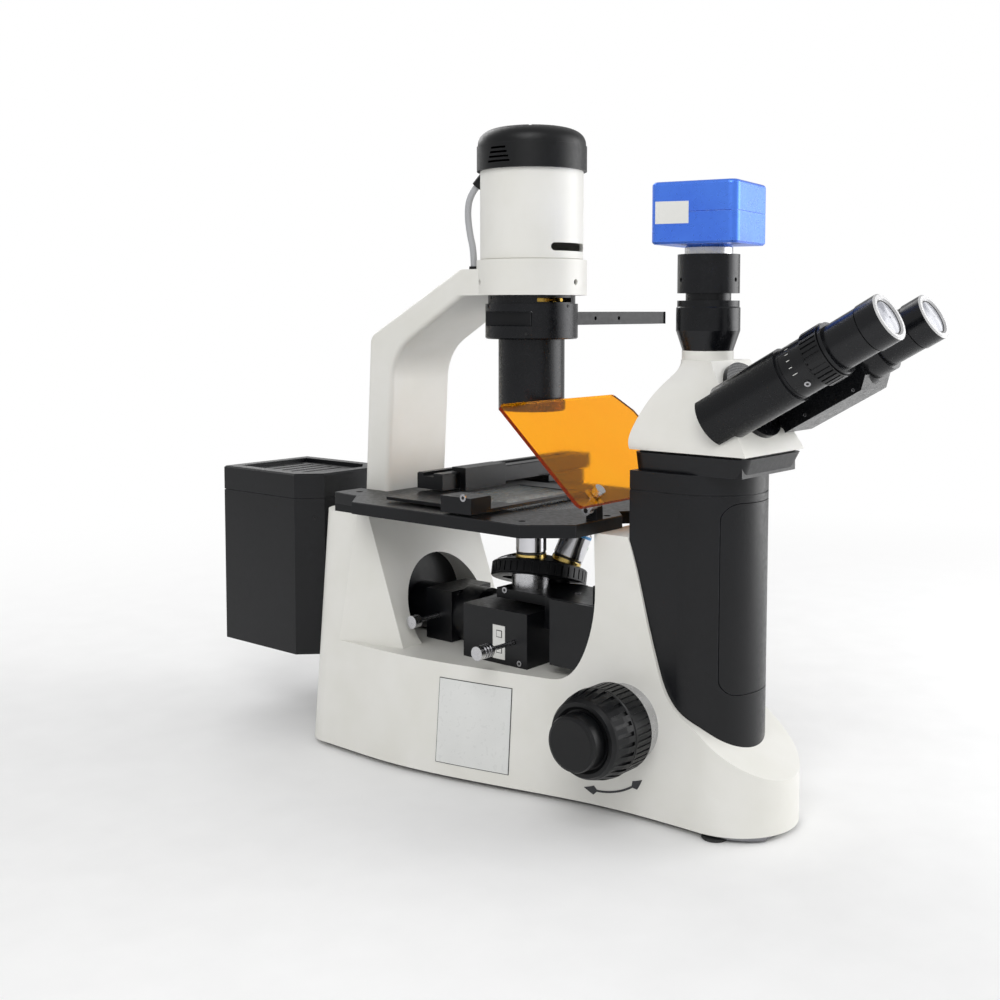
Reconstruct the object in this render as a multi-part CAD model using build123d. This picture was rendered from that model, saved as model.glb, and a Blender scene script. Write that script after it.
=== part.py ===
from build123d import *
from math import cos, pi, radians, sin, tan
import os

# Inverted fluorescence microscope, in millimetres. X runs to the user's right, Y to the rear
# and Z up from the table. Every piece is modelled round the optical axis of the objective, and
# is then moved so that the origin lies under the middle of the whole footprint.

# Clearances
RUNNING = 0.05          # radial clearance of a turning fit
GAP = 0.4               # between pieces that move past each other
SEAM = 0.6              # width of a visible joint between two covers

# Base casting: half widths of its outline from the rear to the nose, at the bottom and the top
FOOT_HEIGHT = 5.0
BASE_REAR = 190.0
BASE_MIDDLE = 76.0
BASE_WAIST = -77.0
BASE_NOSE = -195.0
BASE_FRONT = -247.0
BASE_CORNER = 25.0
BOTTOM_HALF = (91.0, 91.0, 61.0, 50.0)
TOP_HALF = (71.0, 72.0, 50.0, 46.5)
PEDESTAL_TOP = 209.0
SPACER_THICKNESS = 6.9
BASE_PLATE_THICKNESS = 3.0
BASE_PLATE_MARGIN = 8.0
FOOT_RADIUS = 10.0
FRONT_FOOT = (40.0, -206.0)
REAR_FOOT = (70.0, 155.0)

# Pocket right through the base, between the rear pedestal and the front fin
POCKET_FLOOR = 97.0
POCKET_FRONT = -64.0
FIN_CURVE = ((-101.0, 216.0), (-103.0, 158.0), (-99.0, 134.0), (-86.0, 106.0))
PEDESTAL_TOE = 87.0
PEDESTAL_BROW = 129.0
CORNER_HALF = 67.0
CORNER_TOP = (5.2, 9.0)
CORNER_FOOT = (16.0, 66.0)
TUNNEL_RADIUS = 49.0
TUNNEL_END = 150.0
EPI_HEIGHT = 119.0

# Front column over the sweeping edge of the base, and the collar under the head
APRON_CURVE = ((-132.0, 214.0), (-141.0, 187.0), (-150.0, 153.0), (-159.0, 123.0), (-168.0, 101.0),
               (-180.0, 88.0), (-193.0, 80.0), (-205.0, 71.0), (-218.0, 62.0), (-247.0, 44.0))
COLUMN_HALF = 45.5
COLUMN_SHOULDER = -175.0
COLUMN_FRONT = -218.0
COLUMN_TOP = 267.0
COLUMN_WALL = 3.0
PANEL_HALF = 33.0
PANEL_TOP = 246.0
PANEL_BOTTOM = 104.0
PANEL_CORNER = 12.0
COLLAR_HEIGHT = 14.0
COLLAR_HALF = 44.8
COLLAR_REAR = -132.5
COLLAR_FRONT = -229.5
COLLAR_CORNER = 10.0
COLLAR_FLARE = 3.0
SEAT_INSET = 5.0

# Light path inside the base, the column and the head
PATH_RADIUS = 14.0
PATH_HEIGHT = 34.0
MIRROR_THICKNESS = 4.0
PORT_Y = -171.0

# Stage plate, with its rear ears, and the insert over the objectives
STAGE_THICKNESS = 10.1
STAGE_HALF = 104.0
STAGE_REAR = 167.0
STAGE_EAR_REAR = 71.0
STAGE_EAR_FRONT = (75.5, 135.0)
STAGE_SIDE_REAR = 110.5
STAGE_SIDE_FRONT = -72.5
STAGE_FRONT = -104.5
STAGE_FRONT_HALF = 76.0
STAGE_NOTCH_HALF = 15.3
STAGE_NOTCH_DEPTH = 13.5
STAGE_OPENING = 55.0
INSERT_LEDGE = 3.0
INSERT_THICKNESS = 3.0
INSERT_HOLE = 14.0
STAGE_HOLE = 3.0
STAGE_HOLES = ((57.0, 150.0), (24.6, -96.3), (88.0, -62.0))

# Rear arm that carries the lamp and the condenser over the stage
ARM_HALF = 38.7
ARM_EDGE = 5.0
ARM_SLOT_CLEAR = 1.6
ARM_FOOT_FRONT = 134.8
ARM_FOOT_REAR = 164.0
ARM_KNEE_FRONT = (127.0, 122.4)
ARM_KNEE_REAR = (155.8, 138.3)
ARM_NECK_BELOW = 42.7
ARM_NECK_ABOVE = (49.5, 21.6)
ARM_KNEE_RADIUS = 44.0
ARM_BACK_RADIUS = 12.0
ARM_RISE = 173.4
RING_HEIGHT = 29.0
RING_RADIUS = 46.2
RING_BORE = 34.0
RING_SCREW = 2.4
RING_SCREW_RISE = 10.5

# Transmitted light: condenser, lamp housing and cap, all round the optical axis
CONDENSER_CLEARANCE = 76.2
CONDENSER_RADIUS = 27.8
CONDENSER_LENGTH = 61.0
CONDENSER_BORE = 20.0
LENS_THICKNESS = 8.0
CARRIER_RADIUS = 38.8
CARRIER_STEP = 36.6
CARRIER_STEP_HEIGHT = 7.0
SPIGOT = 9.0
SLIDER_HALF = 24.0
SLIDER_THICKNESS = 11.0
SLIDER_LEFT = -31.0
SLIDER_RIGHT = 172.0
SLIDER_PITCH = 48.0
SLIDER_APERTURE = 16.0
SLIDER_LIFT = 11.3
IRIS_INNER = 21.0
IRIS_OUTER = 27.0
IRIS_THICKNESS = 3.0
LEVER_AZIMUTH = 254.0
LEVER_SWING = 24.0
LEVER_RADIUS = 1.5
LEVER_REACH = 42.0
LAMP_RADIUS = 43.05
LAMP_WALL = 3.0
LAMP_HEIGHT = 73.2
LAMP_FLOOR = 4.0
FILTER_SLOT_HALF = 21.5
FILTER_SLOT_HEIGHT = 6.7
FILTER_SLOT_RISE = 10.0
CAP_RADIUS = 45.85
CAP_SKIRT = 20.2
CAP_DOME = 15.5
CAP_WALL = 3.0
CAP_SLITS = 10
CAP_SLIT_WIDTH = 2.6
GRILLE_AZIMUTH = 182.0
GRILLE_SLITS = 4
GRILLE_PITCH = 3.6
BULB_RADIUS = 6.0
LEAD_RADIUS = 2.8
LEAD_AZIMUTH = 112.0
LEAD_ROUTE = ((48.5, 491.0), (54.5, 484.0), (57.0, 470.0), (55.0, 452.0), (51.3, 437.0), (51.3, 424.0))
LEAD_GLAND = 4.6
LEAD_GROMMET = 4.0

# Head: housing, pivot flange and the two inclined tubes
HEAD_GAP = 1.8
HEAD_FRONT = -229.5
HEAD_SLOPE = 30.0
HEAD_SECTIONS = ((0.0, 44.5, 44.7, -131.0, 1.0), (18.0, 40.3, 44.0, -134.0, 2.0),
                 (38.5, 35.4, 38.5, -145.0, 3.0), (50.5, 32.6, 32.5, -154.0, 4.5),
                 (59.5, 30.5, 25.0, -160.0, 7.5), (67.0, 28.7, 20.5, -162.5, 10.5))
NECK_RADIUS = 19.4
NECK_BOTTOM = 55.0
NECK_TOP = 74.0
PIVOT_UP = 43.0
PIVOT_RADIUS = 30.5
PIVOT_THICKNESS = 4.0
PIVOT_PIN = 6.0
SWING_RADIUS = 37.5
SWING_DROP = 10.0
HUB_RADIUS = 15.4
HUB_THICKNESS = 14.0
BRIDGE_HALF = 12.0
TUBE_RADIUS = 20.5
TUBE_BACK = 14.0
TUBE_HEAD_CLEAR = 51.5
LEFT_TUBE_END = 57.0
RIGHT_TUBE_RADIUS = 21.3
RIGHT_TUBE_END = 82.0
RIGHT_BOX_DROP = 24.0
SLEEVE_RADIUS = 15.0
SLEEVE_START = 40.0
SCALE_START = 60.0
SCALE_LENGTH = 18.0
SCALE_RADIUS = 18.9
KNURL_LENGTH = 15.0
KNURL_RADIUS = 20.4
KNURL_RIBS = 32
EYEPIECE_START = 96.0
EYEPIECE_RADIUS = 16.7
EYECUP_START = 122.0
EYECUP_RADIUS = 17.3
EYECUP_END = 138.0
EYECUP_EDGE = 1.0
EYE_LENS_RADIUS = 12.5
EYE_LENS_RECESS = 1.6
EYE_LENS_THICKNESS = 4.0
EYE_LENS_CURVE = 66.0

# Camera on the vertical port
ADAPTER_FOOT = 19.0
ADAPTER_RADIUS = 24.0
ADAPTER_UPPER = 23.3
ADAPTER_NECK = 17.0
ADAPTER_BORE = 12.0
ADAPTER_HEIGHT = 72.0
CMOUNT_RADIUS = 18.0
CMOUNT_HEIGHT = 7.0
CAMERA_SIDE = 68.0
CAMERA_HEIGHT = 45.6
CAMERA_TURN = 10.0
CAMERA_CORNER = 7.0
CAMERA_SEAM = 23.0
CAMERA_EDGE = 3.0

# Objective turret, tilted away from the upright objective
TURRET_TILT = 20.0
TURRET_HEADING = 20.2
SEAT_RADIUS = 23.0
TURRET_LEVEL = 167.1
TURRET_RADIUS = 41.5
TURRET_THICKNESS = 12.5
TURRET_CROWN = 16.0
TURRET_POSITIONS = 5
TURRET_RIBS = 40
SEAT_HEIGHT = 10.0
TURRET_AXLE = 8.0
OBJECTIVE_RADIUS = 13.0
OBJECTIVE_LENGTHS = (42.4, 40.5, 36.0, 29.0)
THREAD_RADIUS = 10.0
THREAD_LENGTH = 4.5
GRADUATED_RADIUS = 16.4
CARRIER_TOP = 153.3
CARRIER_LEFT = -25.0
CARRIER_RIGHT = 30.0
CARRIER_REAR = 17.0
CARRIER_ARM_HALF = 28.0
CARRIER_ARM_BOTTOM = 127.0
LIFT_DOWN = 2.0
LIFT_UP = 6.0
GUIDE_FACE = -91.0
GUIDE_HALF = 16.0
GUIDE_BOTTOM = 112.0
GUIDE_TOP = 196.0
GUIDE_DEPTH = 18.0
SLIDE_HALF = 24.0
SLIDE_THICKNESS = 8.0
SLIDE_BOTTOM = 124.0
SLIDE_TOP = 168.0

# Fluorescence light path under the turret
FILTER_LEFT = -50.0
FILTER_RIGHT = 40.0
FILTER_FRONT = -36.0
FILTER_REAR = 32.5
FILTER_TOP = 142.0
FILTER_WALL = 3.0
FILTER_CHAMFER = 8.0
CUBE_SIDE = 23.5
CUBE_PITCH = 24.0
CUBE_BORE = 9.0
SLIDER_ROD = (-22.3, 117.3)
SLIDER_ROD_RADIUS = 1.8
SLIDER_KNOB_RADIUS = 5.6
SLIDER_KNOB = (-96.0, -80.0)
SIDE_PLATE = 3.0
SIDE_PLATE_FACE = 48.5
SIDE_PLATE_REAR = -58.0
SIDE_PLATE_TOP = 158.0
EPI_RADIUS = 21.0
EPI_BORE = 14.0
EPI_BLOCK = (68.0, 98.0)
DIAPHRAGM_ROD_Y = 84.0
DIAPHRAGM_TRAVEL = 8.0

# Rear lamphouse and its neck
NECK_TUBE_RADIUS = 27.0
NECK_FLANGE = 36.0
LAMPHOUSE_HALF = 54.0
LAMPHOUSE_FRONT = 222.0
LAMPHOUSE_REAR = 346.0
LAMPHOUSE_BOTTOM = 62.0
LAMPHOUSE_TOP = 234.0
LAMPHOUSE_SEAM = 210.5
LAMPHOUSE_CORNER = 20.0
LAMPHOUSE_WALL = 3.0
VENT_SLOTS = 7
VENT_WIDTH = 4.0

# Focus drive, across the base
FOCUS_Y = -132.0
FOCUS_Z = 74.0
PINION_TEETH = 16
MODULE = 0.75
PINION_HALF = 7.0
DRIVE_SLOT_HALF = 9.0
BEARING_RADIUS = 16.0
COARSE_SHAFT = 5.0
FINE_SHAFT = 2.5
FLANGE_RADIUS = 30.0
FLANGE_INNER = 48.0
TENSION_INNER = 62.0
TENSION_RADIUS = 33.5
TENSION_LENGTH = 21.0
TENSION_BOSS = 10.0
TENSION_RIBS = 44
RIGHT_BOSS = 24.0
COARSE_RADIUS = 34.0
COARSE_RIM = 27.8
COARSE_LENGTH = 22.0
COARSE_GROOVES = 28
FINE_RADIUS = 21.2
FINE_LENGTH = 13.0

# Attachable mechanical stage
BAR_LEFT = -36.0
BAR_RIGHT = 176.0
BAR_FRONT = 69.0
BAR_REAR = 99.0
BAR_RISE = 6.0
BAR_HEIGHT = 14.0
BAR_LIP = 4.0
HOLDER_RISE = 2.0
HOLDER_THICKNESS = 2.6
HOLDER_LEFT = -85.0
HOLDER_RIGHT = 70.0
HOLDER_FRONT = -22.5
HOLDER_REAR = 88.0
WINDOW_HALF = 46.0
WINDOW_FRONT = -15.0
WINDOW_REAR = 50.0
WINDOW_LOBE = 30.0
CLAMP_LEFT = -102.0
CLAMP_RIGHT = -78.0
CLAMP_FRONT = -22.0
CLAMP_REAR = 10.0
CLAMP_TOP = 15.0
GUIDE_RAIL_WIDTH = 8.0
GUIDE_RAIL_FRONT = -50.0
GUIDE_RAIL_REAR = 108.0
CARRIAGE_RIGHT = 158.0
KNOB_X = 138.0
KNOB_RADIUS = 15.0
KNOB_HEIGHT = 16.0
KNOB_DROP = 46.0
KNOB_SHAFT = 4.0
KNOB_GROOVES = 20

# Amber light shield
SHIELD_HALF = 82.0
SHIELD_LENGTH = 108.0
SHIELD_THICKNESS = 3.0
SHIELD_LEAN = 42.4
SHIELD_FOOT = (-111.0, 13.0)
SHIELD_CORNER = 5.0
SHIELD_CLIP = (10.0, 20.0)
HINGE_ALONG = 5.5
HINGE_BELOW = 11.8
HINGE_PIN = 2.0
HINGE_KNUCKLE = 4.0
HINGE_POST = (41.0, 49.1)
HINGE_LEAF = (49.5, 56.5)
THUMB_ALONG = 9.0
THUMB_RADIUS = 4.5

# Heights and places that follow
STAGE_BOTTOM = PEDESTAL_TOP + SPACER_THICKNESS
STAGE_TOP = STAGE_BOTTOM + STAGE_THICKNESS
RING_BOTTOM = STAGE_TOP + ARM_RISE
RING_TOP = RING_BOTTOM + RING_HEIGHT
CONDENSER_BOTTOM = STAGE_TOP + CONDENSER_CLEARANCE
CARRIER_BOTTOM = CONDENSER_BOTTOM + CONDENSER_LENGTH
SLIDER_BOTTOM = CARRIER_BOTTOM + SLIDER_LIFT
IRIS_BOTTOM = RING_BOTTOM - CARRIER_STEP_HEIGHT + 1.5
LAMP_TOP = RING_TOP + LAMP_HEIGHT
CAP_SEAM = LAMP_TOP + CAP_SKIRT
HEAD_BOTTOM = COLUMN_TOP + COLLAR_HEIGHT + HEAD_GAP
PORT_TOP = HEAD_BOTTOM + NECK_TOP
CMOUNT_BOTTOM = PORT_TOP + ADAPTER_HEIGHT
CAMERA_BOTTOM = CMOUNT_BOTTOM + CMOUNT_HEIGHT
BAR_BOTTOM = STAGE_TOP + BAR_RISE
BAR_TOP = BAR_BOTTOM + BAR_HEIGHT
HOLDER_BOTTOM = STAGE_TOP + HOLDER_RISE
HOLDER_TOP = HOLDER_BOTTOM + HOLDER_THICKNESS
KNOB_Y = (BAR_FRONT + BAR_REAR) / 2
PINION_RADIUS = MODULE * PINION_TEETH / 2
COARSE_INNER = TENSION_INNER + TENSION_LENGTH + GAP
FINE_INNER = COARSE_INNER + COARSE_LENGTH + GAP
FINE_FACE = FINE_INNER + FINE_LENGTH

# Frames of the inclined parts
SLOPE = radians(HEAD_SLOPE)
PIVOT = (0.0, HEAD_FRONT + PIVOT_UP * sin(SLOPE), HEAD_BOTTOM + PIVOT_UP * cos(SLOPE))
HEAD_FRAME = Plane(origin=PIVOT, x_dir=(1, 0, 0), z_dir=(0, -cos(SLOPE), sin(SLOPE)))
TUBE_X = SWING_RADIUS * cos(radians(SWING_DROP))
TUBE_Y = -SWING_RADIUS * sin(radians(SWING_DROP))
TILT = radians(TURRET_TILT)
AWAY = (cos(radians(TURRET_HEADING)), sin(radians(TURRET_HEADING)))
TURRET_CENTRE = (SEAT_RADIUS * cos(TILT) * AWAY[0], SEAT_RADIUS * cos(TILT) * AWAY[1],
                 TURRET_LEVEL - SEAT_RADIUS * sin(TILT))
TURRET_AXIS = (sin(TILT) * AWAY[0], sin(TILT) * AWAY[1], cos(TILT))
TURRET_FRAME = Plane(origin=TURRET_CENTRE, z_dir=TURRET_AXIS,
                     x_dir=(-cos(TILT) * AWAY[0], -cos(TILT) * AWAY[1], sin(TILT)))
LEAN = radians(SHIELD_LEAN)
SHIELD_FRAME = Plane(origin=(0, SHIELD_FOOT[0], STAGE_TOP + SHIELD_FOOT[1]), x_dir=(1, 0, 0),
                     z_dir=(0, -sin(LEAN), cos(LEAN)))
HINGE_Y = SHIELD_FOOT[0] + HINGE_ALONG * cos(LEAN) + HINGE_BELOW * sin(LEAN)
HINGE_Z = STAGE_TOP + SHIELD_FOOT[1] + HINGE_ALONG * sin(LEAN) - HINGE_BELOW * cos(LEAN)

# The footprint runs from the left fine knob to the stage bar, and from the eyepieces to the lamphouse
EYECUP_LOW = TUBE_Y - EYECUP_RADIUS + EYECUP_EDGE
FRONT_REACH = PIVOT[1] + EYECUP_LOW * sin(SLOPE) - EYECUP_END * cos(SLOPE)
SHIFT_X = (FINE_FACE - BAR_RIGHT) / 2
SHIFT_Y = -(LAMPHOUSE_REAR + FRONT_REACH) / 2
FAR = 400.0             # longer than any piece that it cuts


def block(x0, x1, y0, y1, z0, z1):
    """Box between pairs of limits."""
    return Pos((x0 + x1) / 2, (y0 + y1) / 2, (z0 + z1) / 2) * Box(x1 - x0, y1 - y0, z1 - z0)


def post(radius, z0, z1, x=0.0, y=0.0):
    """Upright cylinder."""
    return Pos(x, y, (z0 + z1) / 2) * Cylinder(radius, z1 - z0)


def rod_x(radius, x0, x1, y, z):
    """Cylinder along X."""
    return Pos((x0 + x1) / 2, y, z) * Rot(0, 90, 0) * Cylinder(radius, x1 - x0)


def rod_y(radius, y0, y1, x, z):
    """Cylinder along Y."""
    return Pos(x, (y0 + y1) / 2, z) * Rot(90, 0, 0) * Cylinder(radius, y1 - y0)


def turned(*points):
    """Solid of revolution round Z from an outline of radius and height."""
    return revolve(Plane.XZ * Polygon(*points, align=None), axis=Axis.Z)


def outline(*curves):
    """Face inside joined curves."""
    return make_face(Curve() + list(curves))


def side_prism(face, x0, x1):
    """Side profile, drawn as Y and Z, drawn out along X."""
    return Pos((x0 + x1) / 2, 0, 0) * extrude(Plane.YZ * face, amount=(x1 - x0) / 2, both=True)


def both_sides(shape):
    """A piece and its mirror image across the middle."""
    return shape + mirror(shape, about=Plane.YZ)


def ribbed(shape, radius, count, z0, z1, width, depth):
    """Shape round Z with narrow grooves cut along its rim."""
    cutters = [Rot(0, 0, 360 * i / count) * block(radius - depth, radius + 2, -width / 2, width / 2, z0, z1)
               for i in range(count)]
    return shape - cutters


def across(shape):
    """Turn a shape from Z to the left-hand side, so that its foot faces the middle."""
    return Pos(0, FOCUS_Y, FOCUS_Z) * Rot(0, -90, 0) * shape


# Base

def base_outline(widths, z):
    """Plan of the base at one height, with curved flanks, a round nose and round rear corners."""
    rear, middle, waist, nose = widths
    corner_y = BASE_REAR - BASE_CORNER
    bend = BASE_CORNER * (1 - cos(radians(45)))
    curves = [ThreePointArc((nose, BASE_NOSE), (0, BASE_FRONT), (-nose, BASE_NOSE)),
              Line((BASE_CORNER - rear, BASE_REAR), (rear - BASE_CORNER, BASE_REAR))]
    for side in (1, -1):
        flank = Spline((side * rear, corner_y), (side * middle, BASE_MIDDLE), (side * waist, BASE_WAIST),
                       (side * nose, BASE_NOSE), tangents=((0, -1), (0, -1)))
        corner = ThreePointArc((side * rear, corner_y), (side * (rear - bend), BASE_REAR - bend),
                               (side * (rear - BASE_CORNER), BASE_REAR))
        curves += [flank, corner]
    return Pos(0, 0, z) * outline(*curves)


def over_apron():
    """Everything above the sweeping front edge of the base, as a side profile."""
    sweep = Spline(*APRON_CURVE)
    top, lip = APRON_CURVE[0], APRON_CURVE[-1]
    rest = Polyline(lip, (lip[0] - FAR, lip[1]), (lip[0] - FAR, FAR), (top[0], FAR), top)
    return side_prism(outline(sweep, rest), -FAR, FAR)


def pocket():
    """The gap between the fin and the pedestal, open at the top and on both sides."""
    brow_slope = (PEDESTAL_BROW - PEDESTAL_TOE) / (PEDESTAL_TOP - POCKET_FLOOR)
    top = STAGE_BOTTOM + 10
    fin = Spline(*FIN_CURVE, (POCKET_FRONT, POCKET_FLOOR), tangents=((0, -1), (1, 0)))
    rest = Polyline((POCKET_FRONT, POCKET_FLOOR), (PEDESTAL_TOE, POCKET_FLOOR),
                    (PEDESTAL_TOE + brow_slope * (top - POCKET_FLOOR), top), (FIN_CURVE[0][0], top), FIN_CURVE[0])
    return side_prism(outline(fin, rest), -FAR, FAR)


def pedestal_corner(side):
    """Wedge that takes the pedestal's front corner off, wider towards its foot."""
    faces = []
    for z, y, (inward, back) in ((PEDESTAL_TOP + 1, PEDESTAL_BROW, CORNER_TOP),
                                 (POCKET_FLOOR, PEDESTAL_TOE, CORNER_FOOT)):
        corner = Polygon((side * CORNER_HALF, y), (side * (CORNER_HALF + inward), y + back),
                         (side * (CORNER_HALF + 60), y + back), (side * (CORNER_HALF + 60), y), align=None)
        faces.append(Pos(0, 0, z) * corner)
    return loft(faces, ruled=True)


def light_path():
    """Bores of the light path: down from the filter box, forward and up the column to the head."""
    down = post(PATH_RADIUS, PATH_HEIGHT, FAR)
    forward = rod_y(PATH_RADIUS, PORT_Y, 0, 0, PATH_HEIGHT)
    up = post(PATH_RADIUS, PATH_HEIGHT, FAR, 0, PORT_Y)
    elbows = [Pos(0, y, PATH_HEIGHT) * Sphere(PATH_RADIUS) for y in (0, PORT_Y)]
    return down + forward + up + elbows


def drive_slot():
    """Room for the rack and pinion of the focus drive, inside the fin and below its guide."""
    half = DRIVE_SLOT_HALF
    below = block(-half, half, FOCUS_Y - 12, POCKET_FRONT - 4, FOCUS_Z - 19, GUIDE_BOTTOM)
    return below + block(-half, half, GUIDE_FACE, POCKET_FRONT - 4, FOCUS_Z - 19, SLIDE_BOTTOM)


def base_body():
    """White casting: round front, curved flanks, pocket, tunnel and rear pedestal."""
    body = loft([base_outline(BOTTOM_HALF, FOOT_HEIGHT), base_outline(TOP_HALF, STAGE_BOTTOM)], ruled=True)
    body -= over_apron()
    body -= pocket()
    body -= block(-FAR, FAR, 0, FAR, PEDESTAL_TOP, FAR)
    body -= [pedestal_corner(side) for side in (1, -1)]
    tunnel = rod_y(TUNNEL_RADIUS, 0, TUNNEL_END, 0, EPI_HEIGHT) & block(-FAR, FAR, 0, FAR, POCKET_FLOOR, FAR)
    body -= tunnel
    body -= rod_y(NECK_TUBE_RADIUS, TUNNEL_END - 1, BASE_REAR + 1, 0, EPI_HEIGHT)
    body -= light_path()
    body -= drive_slot()
    body -= block(-GUIDE_HALF, GUIDE_HALF, GUIDE_FACE - GUIDE_DEPTH, GUIDE_FACE, GUIDE_BOTTOM, GUIDE_TOP)
    body -= rod_x(BEARING_RADIUS, -FAR, FAR, FOCUS_Y, FOCUS_Z)
    body -= both_sides(rod_x(FLANGE_RADIUS, FLANGE_INNER, FAR, FOCUS_Y, FOCUS_Z))
    return body


def base_plate():
    """Steel plate let into the underside of the base."""
    half = [w - BASE_PLATE_MARGIN for w in BOTTOM_HALF]
    plate = extrude(base_outline(half, FOOT_HEIGHT - BASE_PLATE_THICKNESS), amount=BASE_PLATE_THICKNESS)
    return plate & block(-FAR, FAR, BASE_FRONT + BASE_PLATE_MARGIN, BASE_REAR - BASE_PLATE_MARGIN, -FAR, FAR)


def rubber_feet():
    """Four turned rubber feet under the base plate."""
    foot = turned((0, 0), (FOOT_RADIUS - 1, 0), (FOOT_RADIUS, 1), (FOOT_RADIUS - 1, FOOT_HEIGHT - BASE_PLATE_THICKNESS),
                  (0, FOOT_HEIGHT - BASE_PLATE_THICKNESS))
    return [Pos(side * x, y, 0) * foot for x, y in (FRONT_FOOT, REAR_FOOT) for side in (1, -1)]


# Column

def column_plan(inset=0.0):
    """Plan of the column: flat rear, straight flanks and a round front."""
    half = COLUMN_HALF - inset
    rear = APRON_CURVE[0][0]
    arc = ThreePointArc((half, COLUMN_SHOULDER), (0, COLUMN_FRONT + inset), (-half, COLUMN_SHOULDER))
    return outline(arc, Polyline((-half, COLUMN_SHOULDER), (-half, rear), (half, rear), (half, COLUMN_SHOULDER)))


def panel_zone(margin):
    """Room of the front panel: a tall window with round corners, as deep as the column's wall."""
    half = PANEL_HALF + margin
    window = Rectangle(2 * half, PANEL_TOP - PANEL_BOTTOM + 2 * margin)
    window = fillet(window.vertices(), PANEL_CORNER + margin)
    window = extrude(Pos(0, 0, (PANEL_TOP + PANEL_BOTTOM) / 2) * Rot(90, 0, 0) * window, amount=FAR)
    return window - extrude(column_plan(COLUMN_WALL), amount=FAR)


def front_column():
    """Black column from the sweep of the base up to the collar, with room for the front panel."""
    shell = extrude(column_plan(), amount=COLUMN_TOP) & over_apron()
    shell -= light_path()
    shell -= panel_zone(SEAM)
    band = extrude(column_plan(), amount=1.2) - extrude(column_plan(0.8), amount=1.2)
    return shell - Pos(0, 0, COLUMN_TOP - 15) * band


def column_front_panel():
    """Removable cover in the front of the column."""
    return extrude(column_plan(), amount=COLUMN_TOP) & over_apron() & panel_zone(0)


def column_collar():
    """Black collar that carries the head, flared towards its top."""
    faces = []
    for z, inset in ((COLUMN_TOP, COLLAR_FLARE), (COLUMN_TOP + COLLAR_HEIGHT, 0)):
        front = COLLAR_FRONT + 2 * inset
        plan = Rectangle(2 * (COLLAR_HALF - inset), COLLAR_REAR - front)
        plan = fillet(plan.vertices(), COLLAR_CORNER)
        faces.append(Pos(0, (COLLAR_REAR + front) / 2, z) * plan)
    seat = Rectangle(2 * (COLLAR_HALF - SEAT_INSET), COLLAR_REAR - COLLAR_FRONT - 2 * SEAT_INSET)
    seat = extrude(Pos(0, (COLLAR_REAR + COLLAR_FRONT) / 2, COLUMN_TOP) * seat, amount=COLLAR_HEIGHT + HEAD_GAP)
    return loft(faces, ruled=True) + seat - light_path()


# Head

def head_section(rise, front_half, rear_half, rear_y, bulge):
    """Plan of the head at one height: straight front edge, leaning flanks and a bowed rear."""
    front_y = HEAD_FRONT + rise * tan(SLOPE)
    flanks = Polyline((-rear_half, rear_y), (-front_half, front_y), (front_half, front_y), (rear_half, rear_y))
    rear = ThreePointArc((rear_half, rear_y), (0, rear_y + bulge), (-rear_half, rear_y))
    return Pos(0, 0, HEAD_BOTTOM + rise) * outline(flanks, rear)


def head_bores():
    """Bores of the head: up to the camera port and out through the pivot."""
    up = post(PATH_RADIUS, 0, FAR, 0, PORT_Y)
    out = HEAD_FRAME.location * post(PIVOT_PIN + 2, -30, 0)
    return up + out


def head_housing():
    """White head with a sloping front face, leaning sides and a round neck for the camera port."""
    body = loft([head_section(*section) for section in HEAD_SECTIONS])
    body &= HEAD_FRAME.location * Pos(0, 0, -FAR / 2) * Box(FAR, FAR, FAR)
    body += post(NECK_RADIUS, HEAD_BOTTOM + NECK_BOTTOM, PORT_TOP, 0, PORT_Y)
    return body - head_bores()


def pivot_flange():
    """Disc on the sloping face with the pin that both tubes swing on."""
    disc = post(PIVOT_RADIUS, 0, PIVOT_THICKNESS)
    pin = post(PIVOT_PIN, PIVOT_THICKNESS, PIVOT_THICKNESS + 2 * HUB_THICKNESS + 2 * GAP)
    head = post(PIVOT_PIN + 4, PIVOT_THICKNESS + 2 * HUB_THICKNESS + 3 * GAP, PIVOT_THICKNESS + 2 * HUB_THICKNESS + 3)
    pin_end = post(PIVOT_PIN, PIVOT_THICKNESS, PIVOT_THICKNESS + 2 * HUB_THICKNESS + 3)
    return HEAD_FRAME.location * (disc + pin + head + pin_end)


def hub(side, low):
    """Hub on the pivot pin and the bridge to one tube."""
    angle = -SWING_DROP if side > 0 else 180 + SWING_DROP
    bridge = block(0, SWING_RADIUS, -BRIDGE_HALF, BRIDGE_HALF, low, low + HUB_THICKNESS)
    return post(HUB_RADIUS, low, low + HUB_THICKNESS) + Rot(0, 0, angle) * bridge


def tube_clearance():
    """Room that a tube leaves round the pivot flange and the front of the head."""
    return post(TUBE_HEAD_CLEAR, -FAR, GAP) + post(PIVOT_RADIUS + GAP, 0, PIVOT_THICKNESS + GAP)


def left_tube_housing():
    """Left tube with its hub: a plain barrel that wraps round the edge of the head."""
    low = PIVOT_THICKNESS + GAP
    barrel = Pos(-TUBE_X, TUBE_Y, 0) * post(TUBE_RADIUS, -TUBE_BACK, LEFT_TUBE_END)
    ring = Pos(-TUBE_X, TUBE_Y, 0) * post(SCALE_RADIUS, LEFT_TUBE_END, SCALE_START - GAP)
    body = barrel - tube_clearance() + hub(-1, low) + ring
    body -= Pos(-TUBE_X, TUBE_Y, 0) * post(SLEEVE_RADIUS, SLEEVE_START, FAR)
    body -= post(PIVOT_PIN + RUNNING, -FAR, FAR)
    return HEAD_FRAME.location * body


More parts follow.
